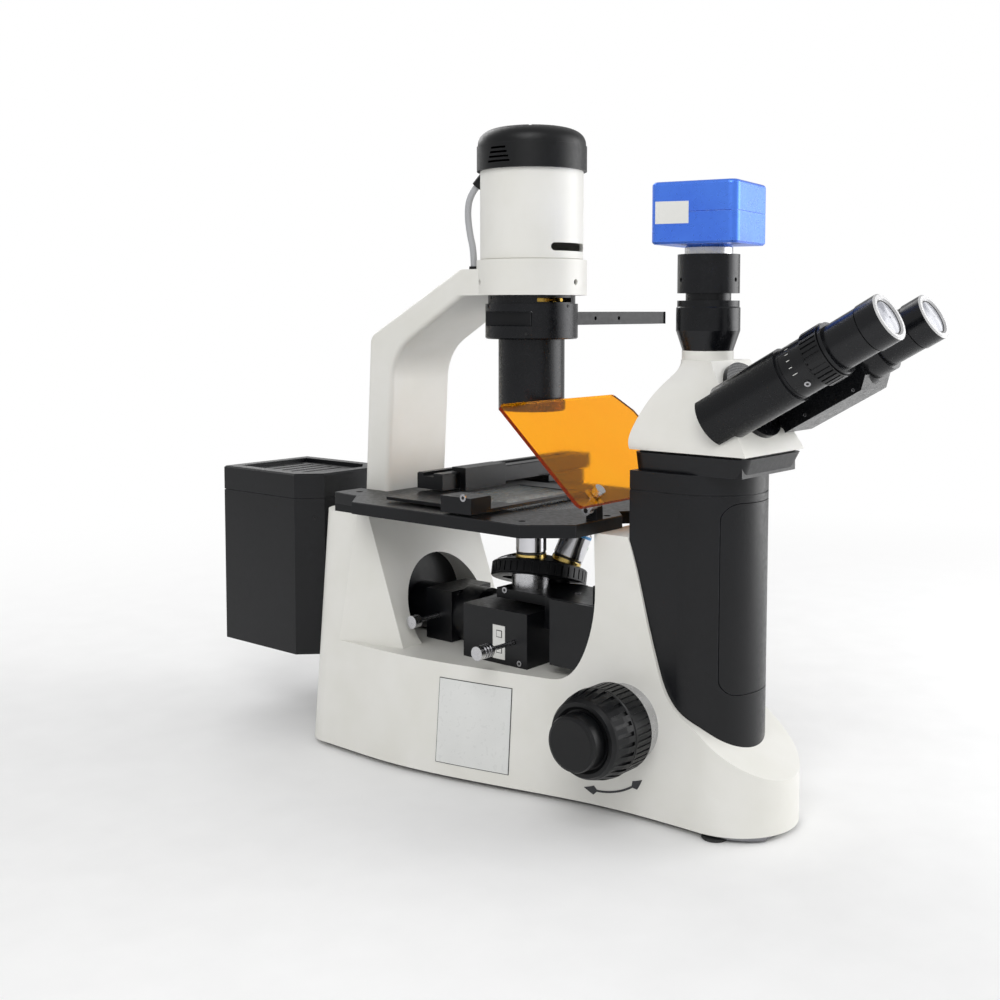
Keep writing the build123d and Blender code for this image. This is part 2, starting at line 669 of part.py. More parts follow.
def right_tube_housing():
    """Right tube with its hub: round above, a flat-bottomed box below."""
    low = PIVOT_THICKNESS + HUB_THICKNESS + 2 * GAP
    barrel = post(RIGHT_TUBE_RADIUS, 0, RIGHT_TUBE_END)
    box = block(-RIGHT_TUBE_RADIUS, RIGHT_TUBE_RADIUS, -RIGHT_BOX_DROP, 0, 6, RIGHT_TUBE_END)
    box = chamfer(box.edges().group_by(Axis.Z)[-1].sort_by(Axis.Y)[0], 8)
    body = Pos(TUBE_X, TUBE_Y, 0) * (barrel + box) - tube_clearance()
    body += hub(1, low)
    body -= Pos(TUBE_X, TUBE_Y, 0) * post(SLEEVE_RADIUS, SLEEVE_START, FAR)
    body -= post(PIVOT_PIN + RUNNING, -FAR, FAR)
    return HEAD_FRAME.location * body


def diopter_ring():
    """Scale ring and knurled grip that turn on the left eyepiece sleeve."""
    grip_end = SCALE_START + SCALE_LENGTH + KNURL_LENGTH
    ring = turned((0, SCALE_START), (SCALE_RADIUS, SCALE_START), (SCALE_RADIUS, SCALE_START + SCALE_LENGTH),
                  (KNURL_RADIUS, SCALE_START + SCALE_LENGTH + 1), (KNURL_RADIUS, grip_end), (0, grip_end))
    ring = ribbed(ring, KNURL_RADIUS, KNURL_RIBS, SCALE_START + SCALE_LENGTH + 1.5, grip_end - 1, 1.4, 0.9)
    ring -= post(SLEEVE_RADIUS + RUNNING, 0, FAR)
    return HEAD_FRAME.location * Pos(-TUBE_X, TUBE_Y, 0) * ring


def eyepiece(side, lip_start):
    """Eyepiece with its sleeve, barrel, groove, eyecup ring and dished front."""
    lens_foot = EYECUP_END - EYE_LENS_RECESS - EYE_LENS_THICKNESS
    body = turned((0, SLEEVE_START), (SLEEVE_RADIUS, SLEEVE_START), (SLEEVE_RADIUS, lip_start),
                  (KNURL_RADIUS - 1, lip_start), (KNURL_RADIUS - 1, EYEPIECE_START),
                  (EYEPIECE_RADIUS, EYEPIECE_START), (EYEPIECE_RADIUS, EYECUP_START - 1),
                  (EYEPIECE_RADIUS - 1, EYECUP_START - 1), (EYEPIECE_RADIUS - 1, EYECUP_START),
                  (EYECUP_RADIUS, EYECUP_START), (EYECUP_RADIUS, EYECUP_END - EYECUP_EDGE),
                  (EYECUP_RADIUS - EYECUP_EDGE, EYECUP_END),
                  (EYE_LENS_RADIUS + 1.5, EYECUP_END), (EYE_LENS_RADIUS, EYECUP_END - EYE_LENS_RECESS),
                  (EYE_LENS_RADIUS, lens_foot), (0, lens_foot))
    return HEAD_FRAME.location * Pos(side * TUBE_X, TUBE_Y, 0) * body


def eye_lens(side):
    """Domed eye lens inside the eyecup ring."""
    face = EYECUP_END - EYE_LENS_RECESS
    lens = post(EYE_LENS_RADIUS, face - EYE_LENS_THICKNESS, face + 2)
    lens &= Pos(0, 0, face + 1.2 - EYE_LENS_CURVE) * Sphere(EYE_LENS_CURVE)
    return HEAD_FRAME.location * Pos(side * TUBE_X, TUBE_Y, 0) * lens


# Camera

def camera_adapter():
    """Turned adapter on the camera port: tapered foot, ring, neck and upper barrel."""
    z = PORT_TOP
    body = turned((ADAPTER_BORE, z), (ADAPTER_FOOT, z), (ADAPTER_RADIUS, z + 15), (ADAPTER_RADIUS, z + 32),
                  (ADAPTER_UPPER, z + 33), (ADAPTER_UPPER, z + 37.5), (ADAPTER_NECK, z + 37.5),
                  (ADAPTER_NECK, z + 43), (ADAPTER_UPPER, z + 43), (ADAPTER_UPPER, z + ADAPTER_HEIGHT),
                  (ADAPTER_BORE, z + ADAPTER_HEIGHT))
    screw = rod_x(1.6, ADAPTER_UPPER - 3, ADAPTER_UPPER + 3, 0, z + 53)
    body -= [Rot(0, 0, azimuth) * screw for azimuth in (30, 150, 270)]
    return Pos(0, PORT_Y, 0) * body


def c_mount_ring():
    """Bright ring between the adapter and the camera."""
    z = CMOUNT_BOTTOM
    ring = turned((ADAPTER_BORE, z), (CMOUNT_RADIUS, z), (CMOUNT_RADIUS, z + 5), (CMOUNT_RADIUS - 1.5, z + CMOUNT_HEIGHT),
                  (ADAPTER_BORE, z + CMOUNT_HEIGHT))
    return Pos(0, PORT_Y, 0) * ring


def camera_block(z0, z1):
    """Square camera housing with round upright corners, turned on its mount."""
    plan = fillet(Rectangle(CAMERA_SIDE, CAMERA_SIDE).vertices(), CAMERA_CORNER)
    return Pos(0, PORT_Y, z0) * Rot(0, 0, CAMERA_TURN) * extrude(plan, amount=z1 - z0)


def camera_lower_shell():
    """Lower half of the camera, with the threaded mouth."""
    body = camera_block(CAMERA_BOTTOM, CAMERA_BOTTOM + CAMERA_SEAM)
    body = chamfer(body.edges().group_by(Axis.Z)[0], CAMERA_EDGE / 2)
    return body - post(ADAPTER_BORE, CAMERA_BOTTOM - 1, CAMERA_BOTTOM + 12, 0, PORT_Y)


def camera_upper_shell():
    """Upper half of the camera, with a rounded top."""
    body = camera_block(CAMERA_BOTTOM + CAMERA_SEAM, CAMERA_BOTTOM + CAMERA_HEIGHT)
    body = fillet(body.edges().group_by(Axis.Z)[-1], CAMERA_EDGE)
    seam = camera_block(CAMERA_BOTTOM + CAMERA_SEAM, CAMERA_BOTTOM + CAMERA_SEAM + SEAM)
    core = Pos(0, PORT_Y, 0) * Rot(0, 0, CAMERA_TURN) * block(-CAMERA_SIDE / 2 + 1, CAMERA_SIDE / 2 - 1,
                                                            -CAMERA_SIDE / 2 + 1, CAMERA_SIDE / 2 - 1, 0, 2 * FAR)
    return body - (seam - core)


# Stage

def stage_outline():
    """Plan of the stage: chamfered corners, a front notch and rear ears beside the arm."""
    slot_half = ARM_HALF + GAP
    right = [(0, STAGE_FRONT + STAGE_NOTCH_DEPTH), (STAGE_NOTCH_HALF, STAGE_FRONT), (STAGE_FRONT_HALF, STAGE_FRONT),
             (STAGE_HALF, STAGE_SIDE_FRONT), (STAGE_HALF, STAGE_SIDE_REAR), STAGE_EAR_FRONT,
             (STAGE_EAR_REAR, STAGE_REAR), (slot_half, STAGE_REAR), (slot_half, ARM_FOOT_FRONT - ARM_SLOT_CLEAR)]
    left = [(-x, y) for x, y in reversed(right[1:])]
    return Polygon(*right, *left, align=None)


def stage_plate():
    """Black stage plate with a stepped round opening and screw holes."""
    plate = Pos(0, 0, STAGE_BOTTOM) * extrude(stage_outline(), amount=STAGE_THICKNESS)
    plate = chamfer(plate.edges().group_by(Axis.Z)[-1], 0.6)
    plate -= post(STAGE_OPENING - INSERT_LEDGE, 0, FAR)
    plate -= post(STAGE_OPENING, STAGE_TOP - INSERT_THICKNESS, FAR)
    plate -= [post(STAGE_HOLE, 0, FAR, side * x, y) for x, y in STAGE_HOLES for side in (1, -1)]
    return plate


def stage_spacer():
    """Rear packing plate between the pedestal and the stage."""
    plate = block(-STAGE_EAR_REAR, STAGE_EAR_REAR, STAGE_SIDE_REAR, STAGE_REAR, PEDESTAL_TOP, STAGE_BOTTOM)
    slot_half = ARM_HALF + GAP
    return plate - block(-slot_half, slot_half, ARM_FOOT_FRONT - ARM_SLOT_CLEAR, FAR, 0, FAR)


def stage_insert():
    """Round insert in the stage opening, with the hole over the objective."""
    disc = post(STAGE_OPENING - RUNNING, STAGE_TOP - INSERT_THICKNESS, STAGE_TOP)
    return disc - post(INSERT_HOLE, 0, FAR)


# Arm, condenser and transmitted lamp

def arm_profile():
    """Side profile of the arm: a straight pillar, a round knee and the neck over the stage."""
    front = (ARM_KNEE_FRONT[0], STAGE_TOP + ARM_KNEE_FRONT[1])
    rear = (ARM_KNEE_REAR[0], STAGE_TOP + ARM_KNEE_REAR[1])
    above = (ARM_NECK_ABOVE[0], RING_BOTTOM + ARM_NECK_ABOVE[1])
    face = Polygon((ARM_FOOT_FRONT, PEDESTAL_TOP), front, (ARM_NECK_BELOW, RING_BOTTOM), (0, RING_BOTTOM),
                   (0, above[1]), above, rear, (ARM_FOOT_REAR, PEDESTAL_TOP), align=None)
    face = fillet(face.vertices().sort_by_distance(front)[0], ARM_KNEE_RADIUS)
    return fillet(face.vertices().sort_by_distance(rear)[0], ARM_BACK_RADIUS)


def arm_pillar():
    """White arm that rises from the pedestal and ends in the ring round the optical axis."""
    arm = side_prism(arm_profile(), -ARM_HALF, ARM_HALF)
    flanks = arm.edges().filter_by(lambda e: abs(abs(e.center().X) - ARM_HALF) < 0.01)
    long_edges = flanks.filter_by(lambda e: e.center().Y > 45 and e.center().Z > PEDESTAL_TOP + 1)
    arm = fillet(long_edges, ARM_EDGE)
    arm += post(RING_RADIUS, RING_BOTTOM, RING_TOP)
    arm -= post(RING_BORE, RING_BOTTOM - 1, RING_TOP + 1)
    screw = rod_x(RING_SCREW, RING_RADIUS - 4, RING_RADIUS + 4, 0, RING_BOTTOM + RING_SCREW_RISE)
    arm -= [Rot(0, 0, azimuth) * screw for azimuth in (30, 150, 270)]
    x, y = lead_place(LEAD_ROUTE[-1][0])
    return arm - post(LEAD_GROMMET, LEAD_ROUTE[-1][1] - 12, FAR * 2, x, y)


def condenser_tube():
    """Plain tube of the long-distance condenser."""
    tube = turned((CONDENSER_BORE, CONDENSER_BOTTOM), (CONDENSER_RADIUS - 1, CONDENSER_BOTTOM),
                  (CONDENSER_RADIUS, CONDENSER_BOTTOM + 1), (CONDENSER_RADIUS, CARRIER_BOTTOM),
                  (CONDENSER_BORE, CARRIER_BOTTOM))
    return tube


def lever_slot():
    """Room for the iris ring and the swing of its lever."""
    reach = CARRIER_RADIUS + 10
    edge = radians(LEVER_SWING + 4)
    wedge = Polygon((0, 0), (reach * cos(edge), -reach * sin(edge)), (reach * cos(edge), reach * sin(edge)),
                    align=None)
    slot = Rot(0, 0, LEVER_AZIMUTH) * extrude(wedge, amount=IRIS_THICKNESS + 2 * GAP)
    slot = Pos(0, 0, IRIS_BOTTOM - GAP) * slot - post(IRIS_INNER - GAP, 0, 2 * FAR)
    ring = post(IRIS_OUTER + GAP, IRIS_BOTTOM - GAP, IRIS_BOTTOM + IRIS_THICKNESS + GAP)
    return slot + (ring - post(IRIS_INNER - GAP, 0, 2 * FAR))


def condenser_carrier():
    """Carrier under the arm, slotted across for the phase slider and for the iris lever."""
    step = RING_BOTTOM - CARRIER_STEP_HEIGHT
    body = turned((CONDENSER_BORE, CARRIER_BOTTOM), (CARRIER_RADIUS - 1, CARRIER_BOTTOM),
                  (CARRIER_RADIUS, CARRIER_BOTTOM + 1), (CARRIER_RADIUS, step), (CARRIER_STEP, step),
                  (CARRIER_STEP, RING_BOTTOM), (RING_BORE, RING_BOTTOM), (RING_BORE, RING_BOTTOM + SPIGOT),
                  (CONDENSER_BORE, RING_BOTTOM + SPIGOT))
    body -= block(-FAR, FAR, -SLIDER_HALF - GAP, SLIDER_HALF + GAP, SLIDER_BOTTOM - GAP,
                  SLIDER_BOTTOM + SLIDER_THICKNESS + GAP)
    return body - lever_slot()


def aperture_lever():
    """Iris ring with its brass lever."""
    ring = post(IRIS_OUTER, IRIS_BOTTOM, IRIS_BOTTOM + IRIS_THICKNESS)
    ring -= post(IRIS_INNER, 0, 2 * FAR)
    lever = rod_x(LEVER_RADIUS, IRIS_OUTER - 1, LEVER_REACH, 0, IRIS_BOTTOM + IRIS_THICKNESS / 2)
    return ring + Rot(0, 0, LEVER_AZIMUTH) * lever


def phase_slider():
    """Flat slider with three apertures, screw holes in its edge and a thinned grip."""
    bar = block(SLIDER_LEFT, SLIDER_RIGHT, -SLIDER_HALF, SLIDER_HALF, SLIDER_BOTTOM, SLIDER_BOTTOM + SLIDER_THICKNESS)
    bar = fillet(bar.edges().filter_by(Axis.Z).group_by(Axis.X)[-1], 6)
    bar -= [post(SLIDER_APERTURE, 0, 2 * FAR, SLIDER_PITCH * i, 0) for i in range(3)]
    middle = SLIDER_BOTTOM + SLIDER_THICKNESS / 2
    bar -= [rod_y(1.8, -SLIDER_HALF - 1, -SLIDER_HALF + 5, 58 + 35 * i, middle) for i in range(2)]
    grip = block(SLIDER_RIGHT - 22, SLIDER_RIGHT - 4, -SLIDER_HALF - 1, -SLIDER_HALF + 1.5, 0, 2 * FAR)
    return bar - both_grips(grip)


def both_grips(shape):
    """A cut and its mirror image across the slider's length."""
    return shape + mirror(shape, about=Plane.XZ)


def condenser_lenses():
    """Front lens of the condenser and the collector lens under the lamp."""
    radius = CONDENSER_BORE - RUNNING
    front = post(radius, CONDENSER_BOTTOM + 3, CONDENSER_BOTTOM + 3 + LENS_THICKNESS)
    collector = post(radius, RING_TOP - 4, RING_TOP - 4 + LENS_THICKNESS)
    return [front, collector]


def lamp_housing():
    """White lamp housing: a tube with a floor, a filter slot and the lead's hole."""
    body = turned((CONDENSER_BORE, RING_BOTTOM + SPIGOT), (RING_BORE, RING_BOTTOM + SPIGOT), (RING_BORE, RING_TOP),
                  (LAMP_RADIUS - 1, RING_TOP), (LAMP_RADIUS, RING_TOP + 1), (LAMP_RADIUS, LAMP_TOP),
                  (LAMP_RADIUS - LAMP_WALL, LAMP_TOP), (LAMP_RADIUS - LAMP_WALL, RING_TOP + LAMP_FLOOR),
                  (CONDENSER_BORE, RING_TOP + LAMP_FLOOR))
    slot_z = RING_TOP + FILTER_SLOT_RISE
    slot = block(-FILTER_SLOT_HALF, FILTER_SLOT_HALF, -LAMP_RADIUS - 5, -12, slot_z - FILTER_SLOT_HEIGHT / 2,
                 slot_z + FILTER_SLOT_HEIGHT / 2)
    slot = fillet(slot.edges().filter_by(Axis.Y), FILTER_SLOT_HEIGHT / 2 - 0.1)
    r, z = LEAD_ROUTE[0]
    hole = Pos(0, 0, z + 6) * Rot(0, 0, LEAD_AZIMUTH) * rod_x(LEAD_RADIUS, LAMP_RADIUS - 8, r, 0, 0)
    return body - slot - hole


def lamp_cap():
    """Black cap: vented skirt, seam and a domed top with radial slits."""
    seam = CAP_SEAM
    top = CAP_SEAM + CAP_DOME
    dome = Spline((CAP_RADIUS - 0.8, seam + 1), (CAP_RADIUS - 6, seam + CAP_DOME * 0.72), (CAP_RADIUS - 20, top),
                  tangents=((0, 1), (-1, 0.12)))
    rest = Polyline((CAP_RADIUS - 20, top), (0, top), (0, LAMP_TOP), (CAP_RADIUS, LAMP_TOP), (CAP_RADIUS, seam),
                    (CAP_RADIUS - 0.8, seam), (CAP_RADIUS - 0.8, seam + 1))
    body = revolve(Plane.XZ * outline(dome, rest), axis=Axis.Z)
    body -= post(CAP_RADIUS - CAP_WALL, LAMP_TOP - 1, top - CAP_WALL - 6)
    slit = block(14, CAP_RADIUS - 12, -CAP_SLIT_WIDTH / 2, CAP_SLIT_WIDTH / 2, top - 10, top + 2)
    body -= [Rot(0, 0, 360 * i / CAP_SLITS) * slit for i in range(CAP_SLITS)]
    for i in range(GRILLE_SLITS):
        half = 11 - 1.2 * i
        z = LAMP_TOP + 4.5 + GRILLE_PITCH * i
        body -= Rot(0, 0, GRILLE_AZIMUTH) * block(CAP_RADIUS - 10, CAP_RADIUS + 5, -half, half, z, z + 1.8)
    return body


def halogen_lamp():
    """Lamp base standing on the housing floor, with the small bulb on top."""
    floor = RING_TOP + LAMP_FLOOR
    base = block(-12, 12, 22, 38, floor, floor + 34) & post(LAMP_RADIUS - LAMP_WALL - GAP, 0, 2 * FAR)
    arm = block(-8, 8, -4, 24, floor + 30, floor + 34)
    bulb = post(BULB_RADIUS, floor + 34, floor + 52)
    return base + arm + fillet(bulb.edges().group_by(Axis.Z)[-1], BULB_RADIUS - 1)


def lead_place(r):
    """Plan place of the lamp lead at a distance from the optical axis."""
    return r * cos(radians(LEAD_AZIMUTH)), r * sin(radians(LEAD_AZIMUTH))


def lamp_lead():
    """Lamp lead from the gland on the housing down into the arm."""
    points = [Vector(*lead_place(r), z) for r, z in LEAD_ROUTE]
    radii = []
    for before, corner, after in zip(points, points[1:], points[2:]):
        turn = radians((corner - before).get_angle(after - corner))
        radii.append(0.45 * min((corner - before).length, (after - corner).length) / tan(turn / 2))
    print("lead radii", [round(r, 1) for r in radii])
    path = FilletPolyline(*points, radius=radii)
    section = Plane(origin=path @ 0, z_dir=path % 0) * Circle(LEAD_RADIUS)
    return sweep(section, path=path)


def lead_glands():
    """Gland on the lamp housing and grommet in the arm, where the lead leaves and enters."""
    start, second = [Vector(*lead_place(r), z) for r, z in LEAD_ROUTE[:2]]
    upper = Plane(origin=start, z_dir=start - second).location * post(LEAD_GLAND, 0, 16)
    upper -= post(LAMP_RADIUS + RUNNING, 0, 2 * FAR) + post(CAP_RADIUS + 1, LAMP_TOP - GAP, 2 * FAR)
    x, y = lead_place(LEAD_ROUTE[-1][0])
    lower = post(LEAD_GROMMET, LEAD_ROUTE[-1][1] - 12, LEAD_ROUTE[-1][1], x, y)
    return [upper, lower]


# Nosepiece

def above_underside(drop):
    """Everything above the slanted underside of the turret, lowered by a clearance."""
    z = -TURRET_THICKNESS / 2 - drop
    return TURRET_FRAME.location * Pos(0, 0, z + FAR / 2) * Box(FAR, FAR, FAR)


def nosepiece_guide():
    """Dovetail guide let into the rear of the fin."""
    body = block(-GUIDE_HALF, GUIDE_HALF, GUIDE_FACE - GUIDE_DEPTH, GUIDE_FACE, GUIDE_BOTTOM, GUIDE_TOP)
    groove = block(GUIDE_HALF - 4, GUIDE_HALF + 1, GUIDE_FACE - 5, GUIDE_FACE - 2, GUIDE_BOTTOM, GUIDE_TOP)
    return body - both_sides(groove)


def nosepiece_carrier():
    """Carrier of the turret: slide plate on the guide, arm, tilted face, axle and rack arm."""
    slide_front = GUIDE_FACE + GAP
    filter_clear = FILTER_TOP + LIFT_DOWN + 1
    bed = block(CARRIER_LEFT, CARRIER_RIGHT, FILTER_FRONT - 2, CARRIER_REAR, filter_clear, CARRIER_TOP)
    arm = block(-CARRIER_ARM_HALF, CARRIER_ARM_HALF, slide_front + 2, FILTER_FRONT - 1, CARRIER_ARM_BOTTOM, CARRIER_TOP)
    slide = block(-SLIDE_HALF, SLIDE_HALF, slide_front, slide_front + SLIDE_THICKNESS, SLIDE_BOTTOM, SLIDE_TOP)
    body = bed + arm + slide
    body -= above_underside(GAP)
    body += TURRET_FRAME.location * post(TURRET_AXLE, -TURRET_THICKNESS / 2 - 6, TURRET_THICKNESS / 2)
    body -= block(-FAR, FAR, FILTER_FRONT - 1, FAR, 0, filter_clear)
    body -= post(PATH_RADIUS, 0, FAR)
    rack_face = FOCUS_Y + PINION_RADIUS + 1.2 * MODULE
    link = block(-6, 6, slide_front, slide_front + SLIDE_THICKNESS, GUIDE_BOTTOM - 16, SLIDE_BOTTOM + 1)
    foot = block(-6, 6, rack_face, slide_front + 1, GUIDE_BOTTOM - 16, GUIDE_BOTTOM - LIFT_UP - 1)
    return body + link + foot


def focus_rack():
    """Toothed rack that hangs from the carrier and meets the pinion."""
    pitch = pi * MODULE
    root = FOCUS_Y + PINION_RADIUS + 1.2 * MODULE
    bottom, top = FOCUS_Z - 14, GUIDE_BOTTOM - 16
    bar = block(-6, 6, root, root + 7, bottom, top)
    teeth = []
    for i in range(-4, 5):
        z = FOCUS_Z + pitch * i
        tooth = Polygon((root, z - 0.75), (root - 1.7 * MODULE, z - 0.28), (root - 1.7 * MODULE, z + 0.28),
                        (root, z + 0.75), align=None)
        teeth.append(side_prism(tooth, -6, 6))
    return bar + teeth


def graduated_ring():
    """Bright ring on the carrier round the light path, cut to the turret's slope."""
    ring = post(GRADUATED_RADIUS, CARRIER_TOP, CARRIER_TOP + 30) - post(PATH_RADIUS, 0, FAR)
    ring -= TURRET_FRAME.location * post(TURRET_AXLE + RUNNING, -40, 10)
    return ring - above_underside(GAP)


def seat_location(position):
    """Frame of one objective: foot on the turret's pitch circle, leaning outwards."""
    return Rot(0, 0, 360 * position / TURRET_POSITIONS) * Pos(SEAT_RADIUS, 0, 0) * Rot(0, TURRET_TILT, 0)


def turret():
    """Turret disc with a ribbed rim, a conical crown and a threaded seat for each objective."""
    low, high = -TURRET_THICKNESS / 2, TURRET_THICKNESS / 2
    crown = high + (TURRET_RADIUS - 2 - TURRET_CROWN) * tan(TILT)
    disc = turned((0, low), (TURRET_RADIUS - 1, low), (TURRET_RADIUS, low + 1), (TURRET_RADIUS, high - 1),
                  (TURRET_RADIUS - 1, high), (TURRET_RADIUS - 2, high), (TURRET_CROWN, crown), (0, crown))
    disc = ribbed(disc, TURRET_RADIUS, TURRET_RIBS, low + 2, high - 2, 1.6, 1.0)
    for position in range(TURRET_POSITIONS):
        disc -= seat_location(position) * post(OBJECTIVE_RADIUS + 0.6, SEAT_HEIGHT, SEAT_HEIGHT + 20)
        disc -= seat_location(position) * post(THREAD_RADIUS, -30, SEAT_HEIGHT + 1)
    disc -= post(TURRET_AXLE + RUNNING, low - 1, high)
    return TURRET_FRAME.location * disc


def objective(position, length):
    """Objective on its seat: thread, barrel with a grip band, and a tapered nose."""
    foot = SEAT_HEIGHT
    tip = foot + length
    neck = tip - 0.24 * length
    bore = 4.0
    body = turned((bore, foot - THREAD_LENGTH), (THREAD_RADIUS, foot - THREAD_LENGTH), (THREAD_RADIUS, foot),
                  (OBJECTIVE_RADIUS, foot), (OBJECTIVE_RADIUS, foot + 4), (OBJECTIVE_RADIUS - 0.6, foot + 4.6),
                  (OBJECTIVE_RADIUS - 0.6, foot + 6), (OBJECTIVE_RADIUS, foot + 6.6), (OBJECTIVE_RADIUS, neck - 2),
                  (OBJECTIVE_RADIUS - 1.5, neck), (OBJECTIVE_RADIUS - 4, neck), (6.5, tip - 1), (5.5, tip), (bore, tip))
    return TURRET_FRAME.location * seat_location(position) * body


def port_plug():
    """Plug in the turret position that holds no objective."""
    body = turned((0, SEAT_HEIGHT - THREAD_LENGTH), (THREAD_RADIUS, SEAT_HEIGHT - THREAD_LENGTH),
                  (THREAD_RADIUS, SEAT_HEIGHT), (OBJECTIVE_RADIUS - 1, SEAT_HEIGHT),
                  (OBJECTIVE_RADIUS - 1, SEAT_HEIGHT + 2), (OBJECTIVE_RADIUS - 2, SEAT_HEIGHT + 3), (0, SEAT_HEIGHT + 3))
    return TURRET_FRAME.location * seat_location(TURRET_POSITIONS - 1) * body


# Fluorescence light path

def side_covers():
    """Thin cover plates beside the nosepiece guide, their front edges cut to the fin."""
    plate = block(SIDE_PLATE_FACE - SIDE_PLATE, SIDE_PLATE_FACE, -FAR, SIDE_PLATE_REAR, POCKET_FLOOR + 8, SIDE_PLATE_TOP)
    return both_sides(plate & pocket())


def filter_box():
    """Box of the filter cubes: hollow, with light openings and a hole for the slider rod."""
    bottom = POCKET_FLOOR
    box = block(FILTER_LEFT, FILTER_RIGHT, FILTER_FRONT, FILTER_REAR, bottom, FILTER_TOP)
    box = chamfer(box.edges().filter_by(Axis.Y).group_by(Axis.X)[-1].sort_by(Axis.Z)[-1], FILTER_CHAMFER)
    wall = FILTER_WALL
    box -= block(FILTER_LEFT + wall, FILTER_RIGHT - wall, FILTER_FRONT + wall, FILTER_REAR - wall,
                 bottom + wall, FILTER_TOP - FILTER_CHAMFER)
    box -= post(PATH_RADIUS - 2, 0, FAR)
    box -= rod_y(EPI_BORE, 0, FILTER_REAR + 1, 0, EPI_HEIGHT)
    y, z = SLIDER_ROD
    return box - rod_x(SLIDER_ROD_RADIUS + GAP, FILTER_LEFT - 1, 0, y, z)


def filter_cubes():
    """Carriage of two filter cubes inside the box, one of them in the light path."""
    middle = (POCKET_FLOOR + FILTER_WALL + FILTER_TOP - FILTER_CHAMFER) / 2
    cubes = []
    for i in range(2):
        x = -CUBE_PITCH * i
        cube = Pos(x, 0, middle) * Box(CUBE_SIDE, CUBE_SIDE, CUBE_SIDE)
        cube -= post(CUBE_BORE, 0, FAR, x, 0)
        cube -= rod_y(CUBE_BORE, 0, CUBE_SIDE, x, middle)
        cubes.append(cube)
    rail_bottom = POCKET_FLOOR + FILTER_WALL + GAP
    cube_bottom = middle - CUBE_SIDE / 2
    rail = block(-1.5 * CUBE_PITCH, CUBE_PITCH / 2, -28, CUBE_SIDE / 2 + 10, rail_bottom, cube_bottom)
    rail -= post(CUBE_BORE, 0, FAR) + post(CUBE_BORE, 0, FAR, -CUBE_PITCH, 0)
    return cubes[0] + cubes[1] + rail


def filter_slider_rod():
    """Rod of the filter slider with its ribbed knob."""
    y, z = SLIDER_ROD
    rod = rod_x(SLIDER_ROD_RADIUS, SLIDER_KNOB[1], -1.5 * CUBE_PITCH, y, z)
    tab = block(-1.5 * CUBE_PITCH, -1.5 * CUBE_PITCH + 4, y - 4, -CUBE_SIDE / 2, z - 4, z + 4)
    knob = Cylinder(SLIDER_KNOB_RADIUS, SLIDER_KNOB[1] - SLIDER_KNOB[0])
    for i in range(3):
        groove = Cylinder(SLIDER_KNOB_RADIUS + 1, 1.4) - Cylinder(SLIDER_KNOB_RADIUS - 0.9, 1.4)
        knob -= Pos(0, 0, -2 + 3.2 * i) * groove
    return rod + tab + Pos((SLIDER_KNOB[0] + SLIDER_KNOB[1]) / 2, y, z) * Rot(0, 90, 0) * knob


def epi_tube():
    """Tube from the rear of the base to the filter box, with its collar, block and baffle."""
    body = rod_y(EPI_RADIUS, FILTER_REAR, TUNNEL_END, 0, EPI_HEIGHT)
    body += rod_y(EPI_RADIUS + 4, FILTER_REAR + 14, EPI_BLOCK[0], 0, EPI_HEIGHT)
    body += block(-26, 26, EPI_BLOCK[0], EPI_BLOCK[1], POCKET_FLOOR + 0.5, EPI_HEIGHT + 23)
    baffle = rod_y(TUNNEL_RADIUS, TUNNEL_END - 22, TUNNEL_END - 18, 0, EPI_HEIGHT)
    body += baffle & block(-FAR, FAR, 0, FAR, POCKET_FLOOR, FAR)
    body -= block(-FAR, FAR, 0, FAR, 0, POCKET_FLOOR)
    body -= rod_y(EPI_BORE, 0, FAR, 0, EPI_HEIGHT)
    return body - rod_x(SLIDER_ROD_RADIUS + GAP, -FAR, 0, DIAPHRAGM_ROD_Y, EPI_HEIGHT)


def diaphragm_rod():
    """Push rod of the field diaphragm, with its turned knob."""
    rod = rod_x(SLIDER_ROD_RADIUS, -52, -EPI_BORE - DIAPHRAGM_TRAVEL / 2, DIAPHRAGM_ROD_Y, EPI_HEIGHT)
    knob = rod_x(SLIDER_KNOB_RADIUS, -60, -52, DIAPHRAGM_ROD_Y, EPI_HEIGHT)
    return rod + knob


def lamphouse_neck():
    """Neck between the base and the lamphouse, with its clamping flange."""
    body = rod_y(NECK_TUBE_RADIUS, TUNNEL_END, LAMPHOUSE_FRONT, 0, EPI_HEIGHT)
    body += rod_y(NECK_FLANGE, BASE_REAR, BASE_REAR + 8, 0, EPI_HEIGHT)
    return body - rod_y(EPI_BORE, 0, FAR, 0, EPI_HEIGHT)


def lamphouse_outline(inset=0.0):
    """Plan of the lamphouse: a box with its front corners cut off."""
    half, front, rear = LAMPHOUSE_HALF - inset, LAMPHOUSE_FRONT + inset, LAMPHOUSE_REAR - inset
    cut = LAMPHOUSE_CORNER - 0.4 * inset
    return Polygon((-half + cut, front), (half - cut, front), (half, front + cut), (half, rear), (-half, rear),
                   (-half, front + cut), align=None)


def lamphouse_body():
    """Open-topped housing of the arc lamp."""
    height = LAMPHOUSE_SEAM - LAMPHOUSE_BOTTOM
    body = extrude(lamphouse_outline(), amount=height)
    body -= Pos(0, 0, LAMPHOUSE_WALL) * extrude(lamphouse_outline(LAMPHOUSE_WALL), amount=height)
    body = Pos(0, 0, LAMPHOUSE_BOTTOM) * body
    body -= rod_y(EPI_BORE, 0, LAMPHOUSE_FRONT + 20, 0, EPI_HEIGHT)
    slot = block(-30, 30, LAMPHOUSE_REAR - 10, LAMPHOUSE_REAR + 10, 0, VENT_WIDTH)
    return body - [Pos(0, 0, LAMPHOUSE_BOTTOM + 30 + 12 * i) * slot for i in range(VENT_SLOTS)]


